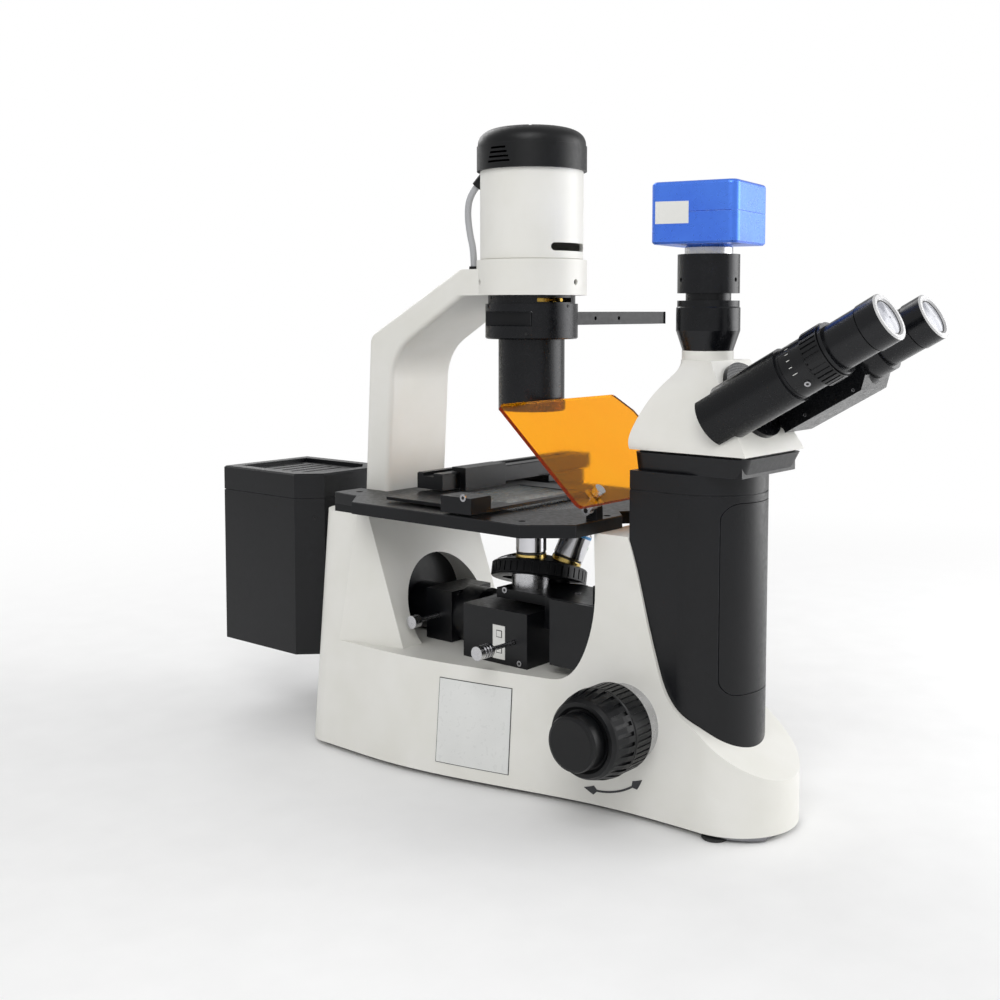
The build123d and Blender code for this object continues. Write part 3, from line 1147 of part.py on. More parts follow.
def lamphouse_cover():
    """Cover of the lamphouse with a sunken, slotted top."""
    height = LAMPHOUSE_TOP - LAMPHOUSE_SEAM
    cover = Pos(0, 0, LAMPHOUSE_SEAM) * extrude(lamphouse_outline(), amount=height)
    cover = chamfer(cover.edges().group_by(Axis.Z)[-1], 1.5)
    cover -= Pos(0, 0, LAMPHOUSE_SEAM - 1) * extrude(lamphouse_outline(LAMPHOUSE_WALL), amount=height - 7)
    cover -= Pos(0, 0, LAMPHOUSE_TOP - 4) * extrude(lamphouse_outline(12), amount=10)
    length = LAMPHOUSE_REAR - LAMPHOUSE_FRONT
    slot = block(-32, 32, -VENT_WIDTH / 2, VENT_WIDTH / 2, LAMPHOUSE_SEAM, FAR)
    cover -= [Pos(0, LAMPHOUSE_FRONT + length * (i + 1.5) / (VENT_SLOTS + 2), 0) * slot for i in range(VENT_SLOTS)]
    seam = extrude(lamphouse_outline(), amount=SEAM) - extrude(lamphouse_outline(1), amount=SEAM)
    return cover - Pos(0, 0, LAMPHOUSE_SEAM) * seam


def arc_lamp():
    """Arc lamp on its socket, standing in the lamphouse."""
    y = (LAMPHOUSE_FRONT + LAMPHOUSE_REAR) / 2
    floor = LAMPHOUSE_BOTTOM + LAMPHOUSE_WALL
    bulb = turned((0, EPI_HEIGHT - 24), (5, EPI_HEIGHT - 24), (5, EPI_HEIGHT - 10), (9, EPI_HEIGHT), (5, EPI_HEIGHT + 10),
                  (5, EPI_HEIGHT + 24), (0, EPI_HEIGHT + 24))
    return Pos(0, y, 0) * bulb + post(18, floor, EPI_HEIGHT - 24, 0, y)


def folding_mirrors():
    """The two mirrors at the elbows of the light path."""
    mirrors = []
    for y, turn in ((0, 45), (PORT_Y, -45)):
        slab = Box(4 * PATH_RADIUS, 4 * PATH_RADIUS, MIRROR_THICKNESS)
        slab = Pos(0, y, PATH_HEIGHT) * Rot(turn, 0, 0) * slab
        mirrors.append(slab & light_path())
    return mirrors


def head_prism():
    """Beam-splitting prism in the head's bore, level with the pivot."""
    return post(PATH_RADIUS, PIVOT[2] - 12, PIVOT[2] + 12, 0, PORT_Y) & block(-10, 10, -FAR, FAR, 0, 2 * FAR)


# Focus drive, modelled on Z as distance from the middle and laid across the base

def focus_bearings():
    """Bearing tubes of the focus shaft with their flanges and bosses, one in each flank."""
    left = post(BEARING_RADIUS, DRIVE_SLOT_HALF, FLANGE_INNER + 1)
    left += post(FLANGE_RADIUS, FLANGE_INNER, TENSION_INNER - GAP)
    right = left + post(RIGHT_BOSS, TENSION_INNER - 1, COARSE_INNER - GAP)
    left += post(TENSION_BOSS, TENSION_INNER - 1, COARSE_INNER - GAP)
    bore = post(COARSE_SHAFT + RUNNING, 0, FAR)
    return [across(left - bore), mirror(across(right - bore), about=Plane.YZ)]


def tension_ring():
    """Knurled ring that sets the stiffness of the coarse focus, on the left boss."""
    end = TENSION_INNER + TENSION_LENGTH
    ring = turned((0, TENSION_INNER), (TENSION_RADIUS - 1, TENSION_INNER), (TENSION_RADIUS, TENSION_INNER + 1),
                  (TENSION_RADIUS, end - 1), (TENSION_RADIUS - 1, end), (0, end))
    ring = ribbed(ring, TENSION_RADIUS, TENSION_RIBS, TENSION_INNER + 2, end - 2, 1.6, 0.9)
    return across(ring - post(TENSION_BOSS + RUNNING, 0, FAR))


def coarse_knob():
    """Coarse knob: tapered, deeply grooved, with a plain rim and a dished face."""
    inner, end = COARSE_INNER, COARSE_INNER + COARSE_LENGTH
    knob = turned((0, inner), (COARSE_RADIUS - 1, inner), (COARSE_RADIUS, inner + 1), (COARSE_RADIUS - 1, inner + 8),
                  (COARSE_RIM + 2, end - 3), (COARSE_RIM, end), (COARSE_RIM - 3, end), (FINE_RADIUS + 1, end - 2),
                  (0, end - 2))
    lean = (COARSE_RADIUS - COARSE_RIM) / COARSE_LENGTH
    for i in range(COARSE_GROOVES):
        groove = Pos(COARSE_RADIUS + 0.6, 0, inner + 2) * Rot(0, -7, 0) * block(-2.4, 3, -1.5, 1.5, 0, COARSE_LENGTH - 3)
        knob -= Rot(0, 0, 360 * i / COARSE_GROOVES) * groove
    knob -= post(COARSE_SHAFT, 0, FAR)
    return across(knob)


def coarse_knobs():
    """The two coarse knobs."""
    return both_sides(coarse_knob())


def pinion_shaft():
    """Hollow coarse shaft with the pinion in its middle."""
    tip = PINION_RADIUS + 0.75 * MODULE
    root = COARSE_SHAFT
    step = 360 / PINION_TEETH
    teeth = []
    for i in range(PINION_TEETH):
        tooth = Polygon((root - 0.5, -0.85), (tip, -0.26), (tip, 0.26), (root - 0.5, 0.85), align=None)
        teeth.append(Rot(0, 0, step * i) * extrude(tooth, amount=2 * PINION_HALF))
    pinion = Pos(0, 0, -PINION_HALF) * (Cylinder(root, 2 * PINION_HALF, align=(Align.CENTER, Align.CENTER, Align.MIN)) + teeth)
    shaft = post(COARSE_SHAFT, -COARSE_INNER - COARSE_LENGTH + 2, COARSE_INNER + COARSE_LENGTH - 2)
    body = shaft + Rot(0, 0, step / 2) * pinion
    return across(body - post(FINE_SHAFT + RUNNING, -FAR, FAR))


def fine_knobs():
    """Fine knobs at both ends of the thin inner shaft."""
    knob = turned((0, FINE_INNER), (FINE_RADIUS, FINE_INNER), (FINE_RADIUS, FINE_FACE - 3), (FINE_RADIUS - 0.9, FINE_FACE - 0.9),
                  (FINE_RADIUS - 3, FINE_FACE), (0, FINE_FACE))
    shaft = post(FINE_SHAFT, -FINE_INNER - 1, FINE_INNER + 1)
    return both_sides(across(knob)) + across(shaft)


# Mechanical stage

def stage_rail():
    """Rail on the right edge of the stage that the carriage runs on."""
    return block(STAGE_HALF, STAGE_HALF + GUIDE_RAIL_WIDTH, GUIDE_RAIL_FRONT, GUIDE_RAIL_REAR, STAGE_BOTTOM, STAGE_TOP)


def stage_y_carriage():
    """Carriage on the rail, with the long bar that the specimen holder runs along."""
    outer = STAGE_HALF + GUIDE_RAIL_WIDTH + GAP
    top = block(STAGE_HALF + GAP, CARRIAGE_RIGHT, BAR_FRONT - 6, BAR_REAR + 6, STAGE_TOP + GAP, BAR_BOTTOM)
    cheek = block(outer, CARRIAGE_RIGHT, BAR_FRONT - 6, BAR_REAR + 6, STAGE_BOTTOM - 6, STAGE_TOP + 1)
    bar = block(BAR_LEFT, BAR_RIGHT, BAR_FRONT, BAR_REAR, BAR_BOTTOM, BAR_TOP)
    bar = chamfer(bar.edges().group_by(Axis.Z)[-1], 0.8)
    bar -= block(BAR_LEFT - 1, BAR_RIGHT - 20, BAR_FRONT + 11, BAR_REAR - 7, BAR_TOP - 3, BAR_TOP + 1)
    body = top + cheek + bar
    return body - post(KNOB_SHAFT + RUNNING, 0, BAR_TOP - 6, KNOB_X, KNOB_Y)


def specimen_holder():
    """Holder plate with its shaped window, the runner on the bar and the spring clamp."""
    plate = block(HOLDER_LEFT, HOLDER_RIGHT, HOLDER_FRONT, HOLDER_REAR, HOLDER_BOTTOM, HOLDER_TOP)
    window = block(-WINDOW_HALF, WINDOW_HALF, WINDOW_FRONT, WINDOW_REAR, 0, FAR)
    lobe_y = (WINDOW_FRONT + WINDOW_REAR) / 2
    window += post(WINDOW_LOBE, 0, FAR, -WINDOW_HALF, lobe_y) & block(-FAR, 0, lobe_y - 20, lobe_y + 20, 0, FAR)
    plate -= window
    runner = block(-14, 40, BAR_FRONT - 7, BAR_FRONT - GAP, HOLDER_BOTTOM, BAR_TOP + GAP)
    lip = block(-14, 40, BAR_FRONT - 7, BAR_FRONT + 9, BAR_TOP + GAP, BAR_TOP + BAR_LIP)
    clamp = block(CLAMP_LEFT, CLAMP_RIGHT, CLAMP_FRONT, CLAMP_REAR, HOLDER_BOTTOM, STAGE_TOP + CLAMP_TOP)
    clamp -= block(CLAMP_LEFT - 1, CLAMP_LEFT + 9, CLAMP_FRONT - 1, CLAMP_FRONT + 9, 0, STAGE_TOP + 6) & block(
        -FAR, FAR, -FAR, FAR, STAGE_TOP + CLAMP_TOP, FAR)
    return plate + runner + lip + clamp


def holder_glass():
    """Glass pane in the window of the holder."""
    pane = block(-WINDOW_HALF, WINDOW_HALF, WINDOW_FRONT, WINDOW_REAR, HOLDER_BOTTOM + 0.4, HOLDER_TOP - 0.6)
    return pane


def stage_knob(z0, shaft_radius, shaft_top):
    """One of the two coaxial stage knobs: ribbed, on its upright shaft."""
    knob = turned((0, z0), (KNOB_RADIUS - 1, z0), (KNOB_RADIUS, z0 + 1), (KNOB_RADIUS, z0 + KNOB_HEIGHT - 1),
                  (KNOB_RADIUS - 1, z0 + KNOB_HEIGHT), (0, z0 + KNOB_HEIGHT))
    knob = ribbed(knob, KNOB_RADIUS, KNOB_GROOVES, z0 + 2, z0 + KNOB_HEIGHT - 2, 1.6, 0.9)
    return Pos(KNOB_X, KNOB_Y, 0) * (knob + post(shaft_radius, z0 + 1, shaft_top))


def stage_y_knob():
    """Upper knob, which drives the carriage to the front and rear."""
    bottom = STAGE_BOTTOM - KNOB_DROP + KNOB_HEIGHT + GAP
    inner = KNOB_SHAFT / 2 + RUNNING
    return stage_knob(bottom, KNOB_SHAFT, STAGE_TOP + 2) - post(inner, 0, FAR, KNOB_X, KNOB_Y)


def stage_x_knob():
    """Lower knob, which drives the specimen holder along the bar."""
    return stage_knob(STAGE_BOTTOM - KNOB_DROP, KNOB_SHAFT / 2, BAR_BOTTOM + 4)


# Amber shield, in a frame with Y up its slope and Z out of its front

def amber_shield():
    """Transparent plate, its lower corners rounded and one upper corner clipped."""
    clip_x, clip_y = SHIELD_CLIP
    plate = Polygon((-SHIELD_HALF, 0), (SHIELD_HALF, 0), (SHIELD_HALF, SHIELD_LENGTH - clip_y),
                    (SHIELD_HALF - clip_x, SHIELD_LENGTH), (-SHIELD_HALF, SHIELD_LENGTH), align=None)
    plate = fillet(plate.vertices(), SHIELD_CORNER)
    plate = extrude(plate, amount=SHIELD_THICKNESS)
    middle = sum(HINGE_LEAF) / 2
    plate -= both_sides(post(THUMB_RADIUS / 2, -5, 10, middle, THUMB_ALONG))
    return SHIELD_FRAME.location * plate


def shield_clamps():
    """Hinge leaves under the plate with the thumb screws that hold it."""
    x0, x1 = HINGE_LEAF
    leaf = block(x0, x1, 1, 16, -3, 0)
    knuckle = rod_x(HINGE_KNUCKLE, x0, x1, HINGE_ALONG, -HINGE_BELOW)
    web = block(x0, x1, HINGE_ALONG - 3, HINGE_ALONG + 3, -HINGE_BELOW, -1)
    screw = post(THUMB_RADIUS / 2, -2, SHIELD_THICKNESS + 1, (x0 + x1) / 2, THUMB_ALONG)
    screw += post(THUMB_RADIUS, SHIELD_THICKNESS, SHIELD_THICKNESS + 6, (x0 + x1) / 2, THUMB_ALONG)
    clamp = leaf + knuckle + web + screw
    clamp -= rod_x(HINGE_PIN + RUNNING, 0, FAR, HINGE_ALONG, -HINGE_BELOW)
    return SHIELD_FRAME.location * both_sides(clamp)


def shield_bracket():
    """Posts on the stage with the pins that the shield tilts on."""
    x0, x1 = HINGE_POST
    body = block(x0, x1, HINGE_Y - 5, HINGE_Y + 5, STAGE_TOP, HINGE_Z)
    body += rod_x(5, x0, x1, HINGE_Y, HINGE_Z)
    body += rod_x(HINGE_PIN, x0, HINGE_LEAF[1], HINGE_Y, HINGE_Z)
    return both_sides(body)


PIECES = {
    "base_body": base_body,
    "base_plate": base_plate,
    "rubber_feet": rubber_feet,
    "front_column": front_column,
    "column_front_panel": column_front_panel,
    "column_collar": column_collar,
    "head_housing": head_housing,
    "pivot_flange": pivot_flange,
    "left_tube_housing": left_tube_housing,
    "right_tube_housing": right_tube_housing,
    "diopter_ring": diopter_ring,
    "left_eyepiece": lambda: [eyepiece(-1, EYEPIECE_START - 3 + GAP), eye_lens(-1)],
    "right_eyepiece": lambda: [eyepiece(1, RIGHT_TUBE_END), eye_lens(1)],
    "camera_adapter": camera_adapter,
    "c_mount_ring": c_mount_ring,
    "camera_shells": lambda: [camera_lower_shell(), camera_upper_shell()],
    "stage_plate": stage_plate,
    "stage_fittings": lambda: [stage_spacer(), stage_rail()],
    "stage_insert": stage_insert,
    "arm_pillar": arm_pillar,
    "condenser_tube": condenser_tube,
    "condenser_carrier": condenser_carrier,
    "aperture_lever": aperture_lever,
    "phase_slider": phase_slider,
    "condenser_lenses": condenser_lenses,
    "lamp_housing": lamp_housing,
    "lamp_cap": lamp_cap,
    "halogen_lamp": halogen_lamp,
    "lamp_lead": lamp_lead,
    "lead_glands": lead_glands,
    "nosepiece_guide": nosepiece_guide,
    "nosepiece_carrier": nosepiece_carrier,
    "focus_rack": focus_rack,
    "graduated_ring": graduated_ring,
    "turret": turret,
    "objective_upright": lambda: objective(0, OBJECTIVE_LENGTHS[0]),
    "objectives_parked": lambda: [objective(i, OBJECTIVE_LENGTHS[i]) for i in (1, 2, 3)],
    "port_plug": port_plug,
    "side_covers": side_covers,
    "filter_box": filter_box,
    "filter_slider": lambda: [filter_cubes(), filter_slider_rod()],
    "epi_tubes": lambda: [epi_tube(), lamphouse_neck()],
    "diaphragm_rod": diaphragm_rod,
    "lamphouse_body": lamphouse_body,
    "lamphouse_cover": lamphouse_cover,
    "arc_lamp": arc_lamp,
    "mirrors_and_prism": lambda: [*folding_mirrors(), head_prism()],
    "focus_bearings": focus_bearings,
    "tension_ring": tension_ring,
    "coarse_knobs": coarse_knobs,
    "pinion_shaft": pinion_shaft,
    "fine_knobs": fine_knobs,
    "stage_y_carriage": stage_y_carriage,
    "specimen_holder": specimen_holder,
    "holder_glass": holder_glass,
    "stage_y_knob": stage_y_knob,
    "stage_x_knob": stage_x_knob,
    "amber_shield": amber_shield,
    "shield_clamps": shield_clamps,
    "shield_bracket": shield_bracket,
}

os.makedirs("parts", exist_ok=True)
for name, make in PIECES.items():
    made = make()
    solids = made if isinstance(made, list) else made.solids()
    placed = [Pos(SHIFT_X, SHIFT_Y, 0) * solid for solid in solids]
    export_step(placed[0] if len(placed) == 1 else Compound(children=placed), f"parts/{name}.step")
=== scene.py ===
# %% [markdown]
# # An inverted microscope, dressed step by step
# The solids of the microscope are already modelled to size. This lesson loads them, sets up the
# photographer's camera and lights, gives each surface its finish, and adds the small things that
# are too fine for the solids: screws, scale marks, plates and the lamp's lead.

# %% Load the solids
from math import cos, pi, radians, sin, tan

import bpy
from mathutils import Matrix, Vector
from mathutils.bvhtree import BVHTree


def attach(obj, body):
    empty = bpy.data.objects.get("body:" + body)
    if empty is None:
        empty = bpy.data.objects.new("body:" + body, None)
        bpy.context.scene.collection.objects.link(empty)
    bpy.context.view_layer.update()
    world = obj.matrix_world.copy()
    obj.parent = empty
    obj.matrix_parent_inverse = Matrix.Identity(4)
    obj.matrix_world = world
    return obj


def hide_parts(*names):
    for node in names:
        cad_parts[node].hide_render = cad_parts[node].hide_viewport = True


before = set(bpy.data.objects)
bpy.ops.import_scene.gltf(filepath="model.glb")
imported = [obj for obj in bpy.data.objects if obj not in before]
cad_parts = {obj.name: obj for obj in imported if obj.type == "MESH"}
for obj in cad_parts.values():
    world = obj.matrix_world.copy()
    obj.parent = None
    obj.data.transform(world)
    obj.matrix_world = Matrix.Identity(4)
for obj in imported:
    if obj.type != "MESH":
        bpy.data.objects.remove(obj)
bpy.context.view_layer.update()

# %% [markdown]
# ## The camera
# A product photographer keeps the uprights of an instrument upright by holding the camera level
# and shifting the lens. Half of the drop comes from a small pitch here and half from the shift,
# so that the other views stay well framed.

# %% Camera
MM = 0.001
ORIGIN = Vector((-28.6, -3.541, 0.0)) * MM     # the optical axis on the table
EYE = Vector((-851.0, -686.0, 388.0)) * MM + ORIGIN
FOCAL = 1.299                                  # in frame widths
HORIZON = 0.309                                # height of the horizon, down from the top
AHEAD = Vector((0.7631, 0.6463, 0.0)).normalized()
RIGHT = Vector((0.6463, -0.7631, 0.0)).normalized()
PITCH = radians(4.3)

lens = bpy.data.cameras.new("camera")
lens.sensor_width = 36.0
lens.lens = 36.0 * FOCAL
lens.shift_y = FOCAL * tan(PITCH) - (0.5 - HORIZON)
lens.clip_start = 0.01
camera = bpy.data.objects.new("camera", lens)
bpy.context.scene.collection.objects.link(camera)
camera.location = EYE
camera.rotation_euler = (AHEAD - Vector((0, 0, tan(PITCH)))).to_track_quat("-Z", "Y").to_euler()
bpy.context.scene.camera = camera
print("shift", round(lens.shift_y, 3))

# %% [markdown]
# ## Looking up a place
# A screw or a plate is easiest to place where the eye sees it. A ray goes from the camera through
# a point of the picture, and where it meets the solid the screw sits, with the solid's own normal.

# %% Rays and places
trees = {}


def tree_of(node):
    """Search tree of a solid's triangles."""
    if node not in trees:
        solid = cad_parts[node]
        points = [solid.matrix_world @ v.co for v in solid.data.vertices]
        trees[node] = BVHTree.FromPolygons(points, [p.vertices[:] for p in solid.data.polygons])
    return trees[node]


def sight(px, py):
    """Direction from the eye through a point of the thousand by thousand picture."""
    across = (px - 500.0) / 1000.0 / FOCAL
    up = (HORIZON - py / 1000.0) / FOCAL
    return (AHEAD + RIGHT * across + Vector((0, 0, up))).normalized()


def seen(node, px, py):
    """Place and outward normal where the eye sees a solid."""
    ray = sight(px, py)
    place, normal, _, _ = tree_of(node).ray_cast(EYE, ray)
    if place is None:
        return None
    return place, normal if normal.dot(ray) < 0 else -normal


def at(x, y, z):
    """Place given in millimetres from the optical axis."""
    return Vector((x, y, z)) * MM + ORIGIN


print("eye at", [round(c, 3) for c in EYE])

# %% [markdown]
# ## Soft studio light
# A big window-like lamp from the upper left models the round forms, a weaker one from the front
# opens the shadows, one from behind parts the stand from the floor, and one from the side draws the
# bright line along each black cylinder. A pale world fills the rest. It shows white behind the
# object, but lights it at half that level, so that the enamel keeps its own tone.

# %% World and lamps
def lamp(name, place, target, size, power):
    """Square area lamp that looks at a point."""
    light = bpy.data.lights.new(name, "AREA")
    light.size = size
    light.energy = power
    thing = bpy.data.objects.new(name, light)
    bpy.context.scene.collection.objects.link(thing)
    thing.location = place
    thing.rotation_euler = (Vector(target) - Vector(place)).to_track_quat("-Z", "Y").to_euler()


lamp("key", (-1.5, -0.9, 1.7), (0, 0, 0.25), 1.3, 19)
lamp("fill", (1.3, -1.6, 0.9), (0, 0, 0.25), 1.6, 14)
lamp("back", (0.6, 1.7, 1.4), (0, 0, 0.3), 1.2, 12)
lamp("side", RIGHT * 1.25 + AHEAD * 0.25 + Vector((0, 0, 0.45)), (0, 0, 0.30), 0.9, 5.5)

world = bpy.data.worlds.new("studio")
world.use_nodes = True
bpy.context.scene.world = world
sky = world.node_tree.nodes["Background"]
path = world.node_tree.nodes.new("ShaderNodeLightPath")
shown = world.node_tree.nodes.new("ShaderNodeMath")
shown.operation = "MAXIMUM"
world.node_tree.links.new(path.outputs["Is Camera Ray"], shown.inputs[0])
world.node_tree.links.new(path.outputs["Is Transmission Ray"], shown.inputs[1])
level = world.node_tree.nodes.new("ShaderNodeMapRange")
level.inputs["To Min"].default_value = 0.55
level.inputs["To Max"].default_value = 1.0
world.node_tree.links.new(shown.outputs[0], level.inputs["Value"])
world.node_tree.links.new(level.outputs[0], sky.inputs["Strength"])
sky.inputs["Color"].default_value = (1.0, 1.0, 1.0, 1.0)
bpy.context.scene.view_settings.view_transform = "Standard"

# %% [markdown]
# ## A small kit for finishes
# Every finish is the same idea: a base colour that varies a little, a roughness that varies a
# little, and a fine grain that only the highlights show. Zones let one solid carry two finishes,
# such as the bright rim at the end of a black eyepiece.

# %% Node helpers
def plug(tree, socket, value):
    """Link a socket, or set its number."""
    if isinstance(value, bpy.types.NodeSocket):
        tree.links.new(value, socket)
    else:
        socket.default_value = value


def calc(tree, operation, a, b=0.0):
    """One Math node."""
    node = tree.nodes.new("ShaderNodeMath")
    node.operation = operation
    plug(tree, node.inputs[0], a)
    plug(tree, node.inputs[1], b)
    return node.outputs[0]


def vector_calc(tree, operation, a, b):
    """One Vector Math node."""
    node = tree.nodes.new("ShaderNodeVectorMath")
    node.operation = operation
    plug(tree, node.inputs[0], a)
    plug(tree, node.inputs[1], b)
    return node.outputs["Value" if operation in ("DOT_PRODUCT", "DISTANCE") else "Vector"]


def between(tree, value, low, high):
    """One where a value lies between two limits, and zero elsewhere."""
    above = calc(tree, "GREATER_THAN", value, low)
    return calc(tree, "MULTIPLY", above, calc(tree, "LESS_THAN", value, high))


def spread(tree, value, low, high):
    """A noise value spread between two numbers."""
    node = tree.nodes.new("ShaderNodeMapRange")
    node.inputs["From Min"].default_value = 0.3
    node.inputs["From Max"].default_value = 0.7
    plug(tree, node.inputs["Value"], value)
    node.inputs["To Min"].default_value = low
    node.inputs["To Max"].default_value = high
    return node.outputs[0]


def noise(tree, position, scale, detail=3.0):
    """Noise over the solid's own coordinates."""
    node = tree.nodes.new("ShaderNodeTexNoise")
    node.inputs["Scale"].default_value = scale
    node.inputs["Detail"].default_value = detail
    tree.links.new(position, node.inputs["Vector"])
    return node.outputs["Fac"]


def blend_colour(tree, factor, a, b):
    """Mix of two colours."""
    node = tree.nodes.new("ShaderNodeMix")
    node.data_type = "RGBA"
    plug(tree, node.inputs[0], factor)
    plug(tree, node.inputs[6], a)
    plug(tree, node.inputs[7], b)
    return node.outputs[2]


def blend_number(tree, factor, a, b):
    """Mix of two numbers."""
    node = tree.nodes.new("ShaderNodeMix")
    plug(tree, node.inputs[0], factor)
    plug(tree, node.inputs[2], a)
    plug(tree, node.inputs[3], b)
    return node.outputs[0]


def axial(tree, position, centre, direction):
    """Distance along an axis and distance from it."""
    offset = vector_calc(tree, "SUBTRACT", position, tuple(centre))
    along = vector_calc(tree, "DOT_PRODUCT", offset, tuple(direction))
    flat = tree.nodes.new("ShaderNodeVectorMath")
    flat.operation = "CROSS_PRODUCT"
    tree.links.new(offset, flat.inputs[0])
    flat.inputs[1].default_value = tuple(direction)
    length = tree.nodes.new("ShaderNodeVectorMath")
    length.operation = "LENGTH"
    tree.links.new(flat.outputs[0], length.inputs[0])
    return along, length.outputs["Value"]


print("helpers ready")

# %% [markdown]
# ## One recipe for every finish
# Paint, anodising, moulded plastic and turned metal differ in colour, gloss and grain, but not in
# how they are built. So one function makes them all, and its arguments are what differs. Lighter
# edges come from comparing the true normal with one that is rounded over a short radius: wear on
# the black parts, a painted highlight on the blue camera shells, a touch whiter on the enamel.

# %% Finish
ROUGHNESS_SCALE = 260.0      # how fine the change of gloss is
LATHE_PITCH = 9000.0         # radians of tool mark for each metre
EDGE_TONE_RADIUS = 0.0008         # how far the lighter edge colour reaches from an edge
EDGE_TONE_START = 0.08            # how sharp an edge is before it gets the lighter edge colour
EDGE_TONE_SCALE = 120.0           # how broken up the lighter edge colour is
GRAIN_HEIGHT = 0.0006


def tint(*numbers):
    """Colour from the usual 0 to 255 numbers."""
    return tuple(((c / 255 + 0.055) / 1.055) ** 2.4 if c > 10 else c / 255 / 12.92 for c in numbers) + (1.0,)


def band(centre, direction, along, reach, colour, roughness, metallic):
    """A zone of another finish: two limits along an axis, and two distances from it."""
    return dict(centre=centre, direction=direction, along=along, reach=reach, colour=colour,
                roughness=roughness, metallic=metallic)


def lighter_edge_amount(tree, position):
    """How much lighter edge colour a place gets, wear and painted highlight alike: zero on flat surfaces, more on sharp
    edges.
    """
    soft = tree.nodes.new("ShaderNodeBevel")
    soft.samples = 4
    soft.inputs["Radius"].default_value = EDGE_TONE_RADIUS
    true = tree.nodes.new("ShaderNodeNewGeometry").outputs["Normal"]
    sharp = calc(tree, "SUBTRACT", 1.0, vector_calc(tree, "DOT_PRODUCT", soft.outputs[0], true))
    patchy = spread(tree, noise(tree, position, EDGE_TONE_SCALE), 0.0, 0.5)
    return calc(tree, "MULTIPLY", calc(tree, "GREATER_THAN", sharp, EDGE_TONE_START), patchy)


def finish(name, colour, shade, roughness, metallic=0.0, patches=22.0, grain=1400.0, depth=0.05,
           coat=0.0, gloss=0.5, lathe=None, wear_and_highlight=None, zones=()):
    """Varied colour and roughness, a fine grain, lathe rings, lighter edges (wear, and a painted highlight on the blue
    shells) and zones of another finish.
    """
    material = bpy.data.materials.new(name)
    material.use_nodes = True
    tree = material.node_tree
    shader = tree.nodes["Principled BSDF"]
    shader.inputs["Specular IOR Level"].default_value = gloss
    shader.inputs["Coat Weight"].default_value = coat
    shader.inputs["Coat Roughness"].default_value = 0.15
    position = tree.nodes.new("ShaderNodeTexCoord").outputs["Object"]
    clouds = spread(tree, noise(tree, position, patches), 0.0, 1.0)
    base = blend_colour(tree, clouds, colour, shade)
    rough = spread(tree, noise(tree, position, ROUGHNESS_SCALE, 5.0), roughness - 0.05, roughness + 0.07)
    metal = metallic
    height = noise(tree, position, grain, 2.0)
    if lathe:
        along, reach = axial(tree, position, *lathe)
        rings = calc(tree, "SINE", calc(tree, "MULTIPLY", calc(tree, "ADD", along, reach), LATHE_PITCH))
        height = calc(tree, "ADD", calc(tree, "MULTIPLY", rings, 0.6), height)
    # lighter colour on sharp edges: wear on the black parts, a painted highlight on the blue shells
    if wear_and_highlight:
        base = blend_colour(tree, lighter_edge_amount(tree, position), base, wear_and_highlight)
    for zone in zones:
        along, reach = axial(tree, position, zone["centre"], zone["direction"])
        mask = calc(tree, "MULTIPLY", between(tree, along, *zone["along"]),
                    between(tree, reach, *zone["reach"]))
        base = blend_colour(tree, mask, base, zone["colour"])
        rough = blend_number(tree, mask, rough, zone["roughness"])
        metal = blend_number(tree, mask, metal, zone["metallic"])
    plug(tree, shader.inputs["Base Color"], base)
    plug(tree, shader.inputs["Roughness"], rough)
    plug(tree, shader.inputs["Metallic"], metal)
    bump = tree.nodes.new("ShaderNodeBump")
    bump.inputs["Strength"].default_value = depth
    bump.inputs["Distance"].default_value = GRAIN_HEIGHT
    tree.links.new(height, bump.inputs["Height"])
    tree.links.new(bump.outputs[0], shader.inputs["Normal"])
    return material


def dress(material, *nodes):
    """Give solids a finish."""
    for node in nodes:
        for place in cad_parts[node].material_slots:
            place.material = material
    print(material.name, "on", len(nodes), "solids")


# %% [markdown]
# ## Frames of the inclined parts
# The eyepieces look down a slope of 30 degrees and the turret leans away from the upright
# objective by 20 degrees. The finishes and the scale marks need these directions.

# %% Frames
SLOPE = radians(30)
TILT = radians(20)
HEADING = radians(20.2)
TUBE_OUT = Vector((0, -cos(SLOPE), sin(SLOPE)))
TUBE_UP = Vector((0, sin(SLOPE), cos(SLOPE)))
PIVOT = at(0, -229.5 + 43 * sin(SLOPE), 282.8 + 43 * cos(SLOPE))
LEFT_TUBE = PIVOT + Vector((-37.5 * cos(radians(10)), 0, 0)) * MM - TUBE_UP * 37.5 * sin(radians(10)) * MM
RIGHT_TUBE = PIVOT + Vector((37.5 * cos(radians(10)), 0, 0)) * MM - TUBE_UP * 37.5 * sin(radians(10)) * MM
AWAY = Vector((cos(HEADING), sin(HEADING), 0))
TURRET_AXIS = AWAY * sin(TILT) + Vector((0, 0, cos(TILT)))
TURRET_CENTRE = at(23 * cos(TILT) * AWAY.x, 23 * cos(TILT) * AWAY.y, 167.1 - 23 * sin(TILT))


def frame_at(origin, out, side):
    """Matrix of a local frame: Z along out, X along side."""
    z = out.normalized()
    x = (side - z * side.dot(z)).normalized()
    y = z.cross(x)
    return Matrix.Translation(origin) @ Matrix((x, y, z)).transposed().to_4x4()


TURRET_FRAME = frame_at(TURRET_CENTRE, TURRET_AXIS, -AWAY)


def seat(position):
    """Frame of one objective on the turret."""
    turn = Matrix.Rotation(2 * pi * position / 5, 4, "Z")
    return TURRET_FRAME @ turn @ Matrix.Translation((23 * MM, 0, 0)) @ Matrix.Rotation(TILT, 4, "Y")


print("upright objective leans", round(seat(0).to_3x3().col[2].angle(Vector((0, 0, 1))), 4))

# %% [markdown]
# ## White enamel
# The castings are sprayed with a warm white enamel whose fine orange peel breaks the highlights.
# Black edges wear a little brighter where hands and tools touch them.

